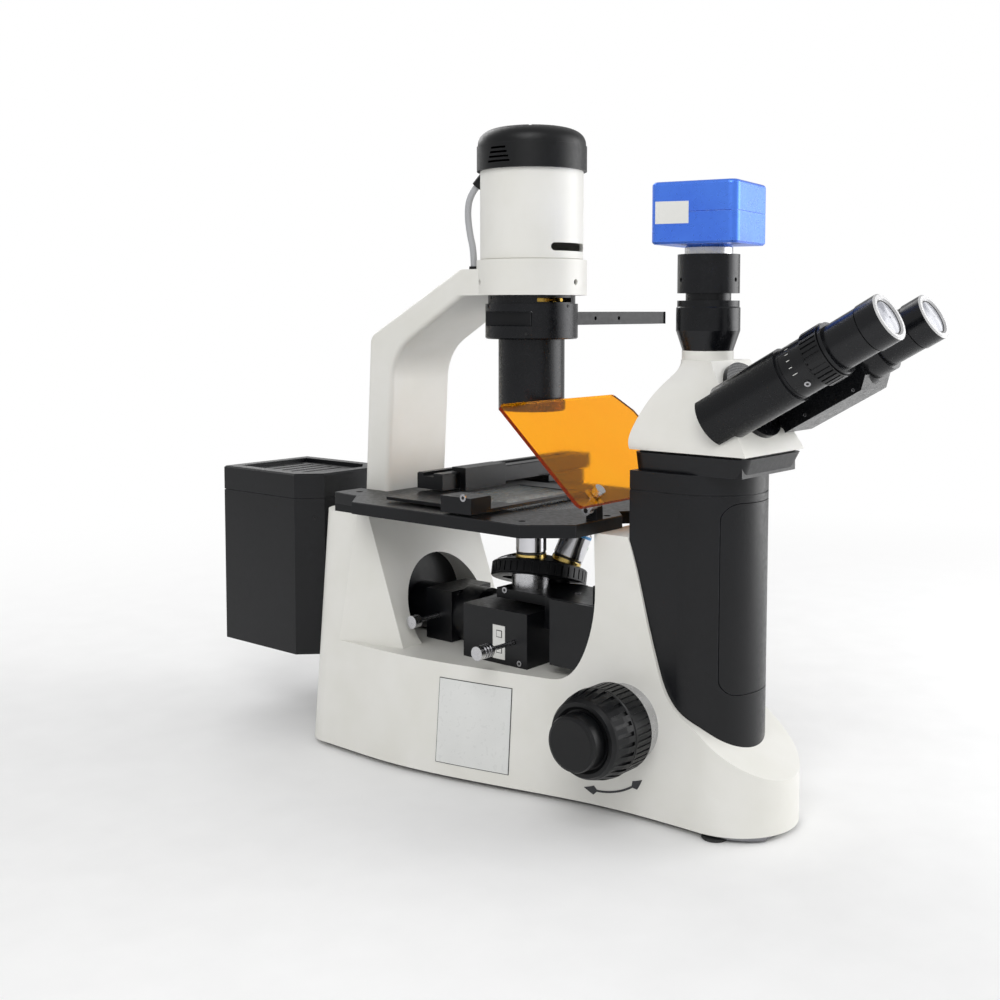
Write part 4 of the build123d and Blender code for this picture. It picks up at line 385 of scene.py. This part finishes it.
# %% Painted castings
enamel = finish("warm_white_enamel", tint(231, 230, 225), tint(225, 224, 217), 0.40, grain=1100.0,
                depth=0.09, coat=0.12, wear_and_highlight=tint(236, 235, 230))
dress(enamel, "base_body", "head_housing", "arm_pillar", "lamp_housing")

paint = finish("satin_black_paint", tint(13, 14, 18), tint(10, 11, 14), 0.34, grain=1300.0, depth=0.12,
               coat=0.04, gloss=0.32, wear_and_highlight=tint(60, 61, 66))
dress(paint, "front_column", "column_front_panel", "column_collar", "lamphouse_body", "lamphouse_cover",
      "side_covers", "filter_box", "epi_tubes", "nosepiece_carrier")

# %% [markdown]
# ## Black anodised aluminium and black mouldings
# Anodised parts are duller and greyer than paint, and show the marks of the lathe. Mouldings have
# a finer, even grain.

# %% Anodised parts and mouldings
anodised = finish("black_anodised", tint(20, 21, 24), tint(15, 16, 18), 0.34, metallic=0.2,
                  grain=2200.0, depth=0.05, gloss=0.3, wear_and_highlight=tint(80, 81, 86))
dress(anodised, "stage_plate", "stage_fittings", "stage_y_carriage", "specimen_holder", "nosepiece_guide",
      "phase_slider", "turret", "shield_bracket")
OPTICAL_AXIS = (ORIGIN, Vector((0, 0, 1)))
CAMERA_AXIS = (at(0, -171, 0), Vector((0, 0, 1)))
lathe_black = finish("lathe_turned_black", tint(22, 23, 27), tint(17, 18, 21), 0.24, metallic=0.4,
                     depth=0.05, lathe=OPTICAL_AXIS)
dress(lathe_black, "stage_insert", "condenser_tube", "condenser_carrier", "pivot_flange")
adapter_black = finish("turned_adapter_black", tint(22, 23, 27), tint(17, 18, 21), 0.22, metallic=0.4,
                       depth=0.05, lathe=CAMERA_AXIS)
dress(adapter_black, "camera_adapter")
moulding = finish("black_moulding", tint(13, 14, 16), tint(10, 11, 13), 0.38, grain=1800.0, depth=0.12,
                  gloss=0.32, wear_and_highlight=tint(60, 61, 65))
dress(moulding, "lamp_cap", "tension_ring", "coarse_knobs", "fine_knobs", "stage_y_knob", "stage_x_knob",
      "lead_glands")

# %% [markdown]
# ## Eyepieces
# The barrels are black, the rim at the end is bright, and a thin black retainer holds the pale
# coated eye lens. One finish carries all four: the zones are measured along and around the axis.

# %% Eyepieces
BARREL_END = 0.1395                        # along the tube, from its foot
RIM_START, DISH_START = 0.1369, 0.1363
GLASS = (0.130, 0.1385)
LENS_EDGE, RETAINER_EDGE = 0.0118, 0.0128  # distances from the tube's axis
DISH_EDGE, RIM_EDGE = 0.0165, 0.02


def eyepiece_finish(name, centre):
    """Black barrel with a bright eyecup ring and a coated lens."""
    rim = band(centre, TUBE_OUT, (RIM_START, BARREL_END), (RETAINER_EDGE, RIM_EDGE), tint(200, 200, 200), 0.30, 0.25)
    dish = band(centre, TUBE_OUT, (DISH_START, BARREL_END), (RETAINER_EDGE, DISH_EDGE), tint(186, 186, 187), 0.30, 0.25)
    retainer = band(centre, TUBE_OUT, GLASS, (LENS_EDGE, RETAINER_EDGE), tint(18, 18, 20), 0.4, 0.0)
    coated = band(centre, TUBE_OUT, GLASS, (-0.001, LENS_EDGE), tint(160, 162, 170), 0.05, 0.1)
    return finish(name, tint(20, 21, 25), tint(15, 16, 19), 0.24, metallic=0.3, depth=0.03,
                  lathe=(centre, TUBE_OUT), zones=(rim, dish, retainer, coated))


dress(eyepiece_finish("left_eyepiece_finish", LEFT_TUBE), "left_eyepiece")
dress(eyepiece_finish("right_eyepiece_finish", RIGHT_TUBE), "right_eyepiece")
barrel = finish("tube_black", tint(18, 19, 22), tint(14, 15, 17), 0.25, metallic=0.15, depth=0.04, gloss=0.3,
                wear_and_highlight=tint(72, 73, 78))
dress(barrel, "left_tube_housing", "right_tube_housing")
dress(finish("diopter_black", tint(17, 18, 21), tint(13, 14, 16), 0.24, metallic=0.3, depth=0.04,
             lathe=(LEFT_TUBE, TUBE_OUT)), "diopter_ring")

# %% [markdown]
# ## The camera's two shells are bright blue anodised aluminium. Their paler blue edges are a painted highlight.
# The camera's two shells are bright blue anodised aluminium.

# %% Camera shells
# the paler blue on the edges is a painted highlight
blue = finish("blue_anodised", tint(84, 138, 250), tint(72, 122, 240), 0.30, metallic=0.55,
              grain=2400.0, depth=0.05, wear_and_highlight=tint(170, 205, 255))
dress(blue, "camera_shells")

# %% [markdown]
# ## Bright metals
# Chromed objectives carry coloured rings that tell their magnification apart. The rings, the mount
# and the graduated ring are turned steel.

# %% Bright metals
steel = finish("turned_steel", tint(205, 205, 207), tint(190, 190, 193), 0.24, metallic=1.0, depth=0.06,
               lathe=OPTICAL_AXIS)
dress(steel, "graduated_ring", "focus_bearings", "pinion_shaft", "focus_rack", "shield_clamps",
      "diaphragm_rod", "filter_slider")
dress(finish("turned_mount", tint(208, 208, 210), tint(194, 194, 197), 0.22, metallic=1.0, depth=0.06,
             lathe=CAMERA_AXIS), "c_mount_ring")
dress(finish("plated_sheet", tint(150, 150, 153), tint(132, 132, 136), 0.35, metallic=1.0), "base_plate")
dress(finish("lacquered_brass", tint(214, 178, 92), tint(196, 158, 76), 0.25, metallic=1.0), "aperture_lever")

# %% [markdown]
# ## Objectives
# A coloured ring tells an objective's magnification, a dark groove marks its grip, and the thread
# at its foot is brass. Each is a zone along the objective's own axis, so the leaning ones get theirs
# square to their barrels too.

# %% Objectives
BARREL_REACH = (0.0, 0.0145)      # the zones go all through the barrel
THREAD, GROOVE = (0.009, 0.0145), (0.0146, 0.0162)
RING_HEIGHT = 0.0025


def objective_zones(position, length, ring):
    """Coloured ring, dark grip groove and brass thread of one objective."""
    place = seat(position)
    centre, direction = place.translation, place.to_3x3().col[2]
    foot_of_ring = (10 + length) * MM - 0.36 * length * MM
    return [band(centre, direction, (foot_of_ring, foot_of_ring + RING_HEIGHT), BARREL_REACH, ring, 0.3, 0.2),
            band(centre, direction, GROOVE, BARREL_REACH, tint(30, 30, 32), 0.4, 0.3),
            band(centre, direction, THREAD, BARREL_REACH, tint(214, 186, 112), 0.22, 1.0)]


def chrome(name, zones):
    """Polished chrome with the objectives' zones."""
    return finish(name, tint(214, 214, 217), tint(203, 203, 207), 0.13, metallic=1.0, depth=0.02, zones=zones)


LENGTHS = (42.4, 40.5, 36.0, 29.0)
RINGS = (tint(232, 190, 40), tint(70, 150, 210), tint(60, 160, 80), tint(232, 190, 40))
each = [objective_zones(i, LENGTHS[i], RINGS[i]) for i in range(4)]
dress(chrome("chromed_barrel", each[0]), "objective_upright")
dress(chrome("chromed_parked", each[1] + each[2] + each[3]), "objectives_parked", "port_plug")

# %% [markdown]
# ## Amber shield, glass and rubber
# The shield is clear amber sheet. Its cut edges gather the light and look red-orange, so the
# finish asks each face which way it points.

# %% Clear parts and rubber
LEAN = radians(42.4)
SHIELD_OUT = Vector((0, -sin(LEAN), cos(LEAN)))
amber = finish("amber_sheet", tint(255, 172, 2), tint(255, 167, 0), 0.05, depth=0.0, gloss=0.15)
tree = amber.node_tree
shader = tree.nodes["Principled BSDF"]
normal = tree.nodes.new("ShaderNodeNewGeometry").outputs["Normal"]
facing = calc(tree, "ABSOLUTE", vector_calc(tree, "DOT_PRODUCT", normal, tuple(SHIELD_OUT)))
cut_edge = calc(tree, "LESS_THAN", facing, 0.6)
old = shader.inputs["Base Color"].links[0].from_socket
plug(tree, shader.inputs["Base Color"], blend_colour(tree, cut_edge, old, tint(246, 84, 26)))
shader.inputs["Transmission Weight"].default_value = 0.94
shader.inputs["IOR"].default_value = 1.25
dress(amber, "amber_shield")


def clear(name, colour, alpha, roughness):
    """Clear part with faint smears."""
    material = finish(name, colour, colour, roughness, depth=0.0)
    socket = material.node_tree.nodes["Principled BSDF"].inputs
    socket["Alpha"].default_value = alpha
    socket["Transmission Weight"].default_value = 0.6
    return material


dress(clear("clear_glass", tint(226, 238, 240), 0.35, 0.06), "condenser_lenses", "holder_glass",
      "mirrors_and_prism")
dress(clear("lamp_glass", tint(240, 240, 232), 0.6, 0.08), "halogen_lamp", "arc_lamp")
dress(finish("foot_rubber", tint(34, 34, 35), tint(42, 42, 43), 0.75, grain=900.0, depth=0.2), "rubber_feet")

# %% [markdown]
# ## The lamp's lead
# A grey lead leaves the lamp housing, hangs in a small loop behind the cap and goes down into the
# arm. It is one smooth NURBS curve through the same corner points as the solid's route.

# %% Lamp lead
LEAD_TURN = radians(112)                       # which way the lead faces, round the optical axis
LEAD_DIAMETER = 0.0056
ROUTE = ((48.5, 491.0), (54.5, 484.0), (57.0, 470.0), (55.0, 452.0), (51.3, 437.0), (51.3, 424.0))


def lead_point(r, z):
    """Point of the lead's upright plane: millimetres out from the optical axis, and up."""
    return at(r * cos(LEAD_TURN), r * sin(LEAD_TURN), z)


curve = bpy.data.curves.new("lamp_lead_curve", "CURVE")
curve.dimensions = "3D"
curve.bevel_depth = LEAD_DIAMETER / 2
curve.bevel_resolution = 6
curve.use_fill_caps = True
spline = curve.splines.new("NURBS")
spline.points.add(len(ROUTE) - 1)
for point, (r, z) in zip(spline.points, ROUTE):
    point.co = (*lead_point(r, z), 1.0)
spline.order_u = 3
spline.use_endpoint_u = True
spline.resolution_u = 16
lead = bpy.data.objects.new("lamp_lead_cord", curve)
bpy.context.scene.collection.objects.link(lead)
curve.materials.append(finish("grey_lead", tint(176, 177, 180), tint(164, 165, 168), 0.5, grain=1500.0,
                              depth=0.1))
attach(lead, "stand")
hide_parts("lamp_lead")
print("lead points", len(ROUTE))

# %% [markdown]
# ## Screws
# Socket screws repeat all over the instrument, so a small Geometry Nodes tree makes them: points
# with a facing direction, a short cylinder on each, realised and given its finish. The same tree
# with six sides makes thin dark hexagons, painted shade standing in for the hollow sockets.

# %% Stud tree
def stud_tree():
    """Geometry Nodes group: a cylinder standing on every point, turned to the point's facing."""
    group = bpy.data.node_groups.new("studs", "GeometryNodeTree")
    face = group.interface
    face.new_socket("Geometry", in_out="INPUT", socket_type="NodeSocketGeometry")
    for name, kind, value in (("Radius", "Float", 0.002), ("Height", "Float", 0.001), ("Sides", "Int", 24)):
        face.new_socket(name, in_out="INPUT", socket_type=f"NodeSocket{kind}").default_value = value
    face.new_socket("Finish", in_out="INPUT", socket_type="NodeSocketMaterial")
    face.new_socket("Geometry", in_out="OUTPUT", socket_type="NodeSocketGeometry")
    new, link = group.nodes.new, group.links.new
    start, end = new("NodeGroupInput"), new("NodeGroupOutput")
    body = new("GeometryNodeMeshCylinder")
    link(start.outputs["Radius"], body.inputs["Radius"])
    link(start.outputs["Height"], body.inputs["Depth"])
    link(start.outputs["Sides"], body.inputs["Vertices"])
    facing_in = new("GeometryNodeInputNamedAttribute")
    facing_in.data_type = "FLOAT_VECTOR"
    facing_in.inputs["Name"].default_value = "facing"
    turn = new("FunctionNodeAlignRotationToVector")
    turn.axis = "Z"
    link(facing_in.outputs["Attribute"], turn.inputs["Vector"])
    on = new("GeometryNodeInstanceOnPoints")
    link(start.outputs["Geometry"], on.inputs["Points"])
    link(body.outputs["Mesh"], on.inputs["Instance"])
    link(turn.outputs["Rotation"], on.inputs["Rotation"])
    real = new("GeometryNodeRealizeInstances")
    link(on.outputs[0], real.inputs[0])
    coat = new("GeometryNodeSetMaterial")
    link(real.outputs[0], coat.inputs["Geometry"])
    link(start.outputs["Finish"], coat.inputs["Material"])
    link(coat.outputs[0], end.inputs[0])
    return group


STUDS = stud_tree()
print("stud tree nodes", len(STUDS.nodes))

# %% [markdown]
# ## Running the tree
# A tree needs points to work on. They are put in a mesh without faces, each with its facing, the
# evaluated result is kept as a plain mesh, and the points are thrown away.

# %% Run a tree once

def baked(name, points, tree, inputs, body):
    """Run a tree on a cloud of points with facings, keep the plain mesh, and let it ride on a body."""
    mesh = bpy.data.meshes.new(name + "_points")
    mesh.from_pydata([tuple(p) for p, _ in points], [], [])
    attribute = mesh.attributes.new("facing", "FLOAT_VECTOR", "POINT")
    for i, (_, n) in enumerate(points):
        attribute.data[i].vector = n
    carrier = bpy.data.objects.new(name + "_points", mesh)
    bpy.context.scene.collection.objects.link(carrier)
    modifier = carrier.modifiers.new("tree", "NODES")
    modifier.node_group = tree
    for item in tree.interface.items_tree:
        if item.in_out == "INPUT" and item.name in inputs:
            modifier[item.identifier] = inputs[item.name]
    bpy.context.view_layer.update()
    depsgraph = bpy.context.evaluated_depsgraph_get()
    made = bpy.data.meshes.new_from_object(carrier.evaluated_get(depsgraph))
    bpy.data.objects.remove(carrier)
    thing = bpy.data.objects.new(name, made)
    bpy.context.scene.collection.objects.link(thing)
    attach(thing, body)
    return thing


# %% [markdown]
# ## Screws where the eye sees them
# Every screw is listed with the solid that it holds and the points of the picture where it shows.
# The three round the lamp ring are set by their angle instead, because the eye sees only one.

# %% Screws
screw_steel = finish("screw_steel", tint(186, 186, 189), tint(170, 170, 174), 0.25, metallic=1.0)
screw_black = finish("screw_black", tint(36, 36, 38), tint(30, 30, 32), 0.35, metallic=0.6)
# dark hexagons painted on the screw heads for the shade inside their sockets
painted_socket_shade = finish("painted_socket_shade", tint(12, 12, 13), tint(16, 16, 17), 0.6)


def screws(name, places, radius, height, material, body):
    """Socket screws: round heads, and thin dark hexagons on them painted for the shade in their sockets."""
    heads = [(p + n * (height / 2 - 0.0002), n) for p, n in places]
    holes = [(p + n * (height - 0.0002), n) for p, n in places]
    baked(name, heads, STUDS, {"Radius": radius, "Height": height, "Sides": 28, "Finish": material}, body)
    # the socket is a thin dark hexagon sheet: painted shade, not a hollow
    socket = {"Radius": radius * 0.5, "Height": 0.0002, "Sides": 6, "Finish": painted_socket_shade}
    baked(name + "_sockets", holes, STUDS, socket, body)
    print(name, len(places))


def by_eye(node, *pixels):
    """Places on one solid, for the points of the picture that meet it."""
    return [hit for hit in (seen(node, px, py) for px, py in pixels) if hit]


SEEN_SCREWS = (       # name, solid, points of the picture, radius, height, finish, body
    ("carrier_screws", "condenser_carrier", [(526, 334)], 0.0017, 0.0008, screw_black, "stand"),
    ("nosepiece_screws", "nosepiece_carrier", [(505, 593), (579, 597)], 0.0026, 0.0010, screw_steel, "nosepiece"),
    ("tunnel_screw", "epi_tubes", [(459, 597)], 0.0024, 0.0010, screw_steel, "stand"),
    ("stop_screw", "diopter_ring", [(808, 383)], 0.0022, 0.0014, screw_steel, "diopter"),
    ("housing_screws", "right_tube_housing", [(854, 390), (806, 415)], 0.0014, 0.0006, screw_steel, "right_tube"),
    ("lamphouse_screw", "lamphouse_body", [(313, 520)], 0.0020, 0.0008, screw_black, "stand"),
    ("upper_carrier_screws", "condenser_carrier", [(488, 306), (568, 306)], 0.0014, 0.0006, screw_black, "stand"),
    ("filter_box_screw", "filter_box", [(520, 669)], 0.0024, 0.0010, screw_steel, "stand"),
    ("clamp_disc", "specimen_holder", [(463, 499)], 0.0030, 0.0008, screw_steel, "holder"),
)
for name, node, pixels, radius, height, material, body in SEEN_SCREWS:
    screws(name, by_eye(node, *pixels), radius, height, material, body)
RING_RADIUS, RING_MIDDLE = 0.0430, 0.4099
ring_places = []
for azimuth in (30, 150, 270):
    out = Vector((cos(radians(azimuth)), sin(radians(azimuth)), 0))
    ring_places.append((ORIGIN + out * RING_RADIUS + Vector((0, 0, RING_MIDDLE)), out))
screws("ring_screws", ring_places, 0.0023, 0.0012, screw_black, "stand")

# %% [markdown]
# ## Plates and marks
# The instrument's plates are thin sheets that follow the surface they are stuck on. A grid of
# rays is cast onto the solid, the hits become a mesh, and Solidify gives it its thickness. The
# plates are bare.

# %% Plates that follow a surface
def stuck(name, node, rows, towards, material, body, lift=0.00015):
    """Thin plate on a solid: rows of start points, each cast towards the surface."""
    tree = tree_of(node)
    hits = []
    for row in rows:
        for start in row:
            way = towards if isinstance(towards, Vector) else (start - EYE).normalized()
            place, _, _, _ = tree.ray_cast(start, way)
            hits.append(place - way * lift if place else None)
    if None in hits:
        print(name, "misses", node)
        return None
    width = len(rows[0])
    faces = [(r * width + c, r * width + c + 1, (r + 1) * width + c + 1, (r + 1) * width + c)
             for r in range(len(rows) - 1) for c in range(width - 1)]
    mesh = bpy.data.meshes.new(name)
    mesh.from_pydata([tuple(h) for h in hits], [], faces)
    mesh.update()
    way = towards if isinstance(towards, Vector) else (hits[0] - EYE)
    if mesh.polygons[0].normal.dot(way) > 0:
        mesh.flip_normals()
    thing = bpy.data.objects.new(name, mesh)
    bpy.context.scene.collection.objects.link(thing)
    mesh.materials.append(material)
    skin = thing.modifiers.new("thickness", "SOLIDIFY")
    skin.thickness = 0.0003
    skin.offset = 0.0
    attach(thing, body)
    print(name, len(faces), "faces")
    return thing


def grid(x, y0, y1, z0, z1, columns=14, rows=10):
    """Grid of start points in a plane of constant X, in millimetres."""
    return [[at(x, y0 + (y1 - y0) * c / columns, z0 + (z1 - z0) * r / rows) for c in range(columns + 1)]
            for r in range(rows + 1)]


def eye_grid(corners, columns=8, rows=6):
    """Grid of start points near the eye behind four corners of the picture, clockwise."""
    (ax, ay), (bx, by), (cx, cy), (dx, dy) = corners
    points = []
    for r in range(rows + 1):
        v = r / rows
        row = []
        for c in range(columns + 1):
            u = c / columns
            px = (ax * (1 - u) + bx * u) * (1 - v) + (dx * (1 - u) + cx * u) * v
            py = (ay * (1 - u) + by * u) * (1 - v) + (dy * (1 - u) + cy * u) * v
            row.append(EYE + sight(px, py) * 0.05)
        points.append(row)
    return points


plate_white = finish("plate_white", tint(232, 232, 228), tint(224, 224, 220), 0.35)
plate_grey = finish("plate_grey", tint(226, 227, 225), tint(219, 220, 218), 0.30)
mark_dark = finish("mark_dark", tint(52, 53, 57), tint(46, 47, 50), 0.45)
INWARD = Vector((1, 0, 0))
OUTSIDE = -160                    # plane left of the microscope, where the rays towards it start
SECOND, THIRD = 0.0004, 0.00065   # how far the second and third layer of a plate stand off
stuck("base_plate_border", "base_body", grid(OUTSIDE, -34, 33, 15, 85), INWARD, mark_dark, "stand")
stuck("base_plate_face", "base_body", grid(OUTSIDE, -33.4, 32.4, 15.6, 84.4), INWARD, plate_grey, "stand", lift=SECOND)
stuck("filter_plate", "filter_box", grid(OUTSIDE, -13, 0, 101, 129, 2, 2), INWARD, plate_white, "stand")
for i, z in enumerate((106, 119)):
    frame_rows = grid(OUTSIDE, -10, -4, z, z + 6, 2, 2)
    window_rows = grid(OUTSIDE, -9.4, -4.6, z + 0.6, z + 5.4, 2, 2)
    stuck(f"filter_square_{i}", "filter_box", frame_rows, INWARD, mark_dark, "stand", lift=SECOND)
    stuck(f"filter_window_{i}", "filter_box", window_rows, INWARD, plate_white, "stand", lift=THIRD)
camera_plate = eye_grid(((654, 203), (687, 202), (687, 224), (654, 225)))
stuck("camera_plate", "camera_shells", camera_plate, None, plate_white, "stand")

# %% [markdown]
# ## Tension arrow
# A printed arrow under the focus knob shows which way the tension ring turns. It is a plate too,
# whose two rows of points follow an arc, wide at the two heads and narrow between them.

# %% Tension arrow
def arrow_rows():
    """Rows of a curved arrow, pointed at both ends, under the tension ring on the flank."""
    centre_y, centre_z, radius = -108.7, 72.8, 56.6
    rows = []
    for side in (-1, 1):
        row = []
        for i in range(21):
            angle = radians(-80 - 55 * i / 20)
            from_end = min(i, 20 - i)
            half = min(0.15 + 3.4 * from_end / 3, 3.6) if from_end < 4 else 0.8
            r = radius + side * half
            row.append(at(OUTSIDE, centre_y + r * cos(angle), centre_z + r * sin(angle)))
        rows.append(row)
    return rows


stuck("tension_arrow", "base_body", arrow_rows(), INWARD, mark_dark, "stand")

# %% [markdown]
# ## Scale marks
# The dioptre ring carries fine marks. They are small bars set round the tube's axis, every fifth
# one longer, so a short loop writes their corners.

# %% Scale marks
def marks(name, place, count, radius, z, size, start, sweep, material, body):
    """Bars round an axis, every fifth one longer."""
    thick, wide, tall = size
    verts, faces = [], []
    for i in range(count):
        angle = start + sweep * i / max(count - 1, 1)
        height = tall * (1.5 if i % 5 == 0 else 1.0)
        turn = Matrix.Rotation(angle, 4, "Z")
        base = len(verts)
        for dx in (-thick, thick):
            for dy in (-wide / 2, wide / 2):
                for dz in (0, height):
                    verts.append(place @ turn @ Vector((radius + dx, dy, z + dz)))
        for quad in ((0, 1, 3, 2), (4, 6, 7, 5), (0, 4, 5, 1), (2, 3, 7, 6), (0, 2, 6, 4), (1, 5, 7, 3)):
            faces.append([base + k for k in quad])
    mesh = bpy.data.meshes.new(name)
    mesh.from_pydata([tuple(v) for v in verts], [], faces)
    mesh.materials.append(material)
    thing = bpy.data.objects.new(name, mesh)
    bpy.context.scene.collection.objects.link(thing)
    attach(thing, body)
    print(name, count)


left_frame = frame_at(LEFT_TUBE, TUBE_OUT, Vector((1, 0, 0)))
MARK_SIZE = (0.00012, 0.0004, 0.0026)     # half its thickness, its width and its height
marks("dioptre_marks", left_frame, 11, 0.0189, 0.066, MARK_SIZE, radians(35), radians(160), plate_white, "diopter")

# %% [markdown]
# ## Floor
# The floor is plain and pale, and keeps the instrument's soft shadow. Further out it fades into the
# white behind, as a paper roll does, so that no horizon shows.

# %% Floor
floor_mesh = bpy.data.meshes.new("floor")
floor_mesh.from_pydata([(-6, -6, 0), (6, -6, 0), (6, 6, 0), (-6, 6, 0)], [], [(0, 1, 2, 3)])
floor = bpy.data.objects.new("floor", floor_mesh)
bpy.context.scene.collection.objects.link(floor)
pale = finish("pale_floor", tint(246, 246, 246), tint(243, 243, 243), 0.8, depth=0.0)
tree = pale.node_tree
away = vector_calc(tree, "DISTANCE", tree.nodes.new("ShaderNodeTexCoord").outputs["Object"], (0.0, 0.0, 0.0))
fade = tree.nodes.new("ShaderNodeMapRange")
fade.interpolation_type = "SMOOTHSTEP"
fade.inputs["From Min"].default_value = 0.35
fade.inputs["From Max"].default_value = 1.5
tree.links.new(away, fade.inputs["Value"])
rays = tree.nodes.new("ShaderNodeLightPath")
shown = calc(tree, "MAXIMUM", rays.outputs["Is Camera Ray"], rays.outputs["Is Transmission Ray"])
bright = tree.nodes.new("ShaderNodeEmission")
bright.inputs["Color"].default_value = (1.0, 1.0, 1.0, 1.0)
mixed = tree.nodes.new("ShaderNodeMixShader")
tree.links.new(calc(tree, "MULTIPLY", shown, fade.outputs[0]), mixed.inputs[0])
tree.links.new(tree.nodes["Principled BSDF"].outputs[0], mixed.inputs[1])
tree.links.new(bright.outputs[0], mixed.inputs[2])
tree.links.new(mixed.outputs[0], tree.nodes["Material Output"].inputs["Surface"])
floor_mesh.materials.append(pale)
print("floor", len(floor_mesh.vertices), "corners")
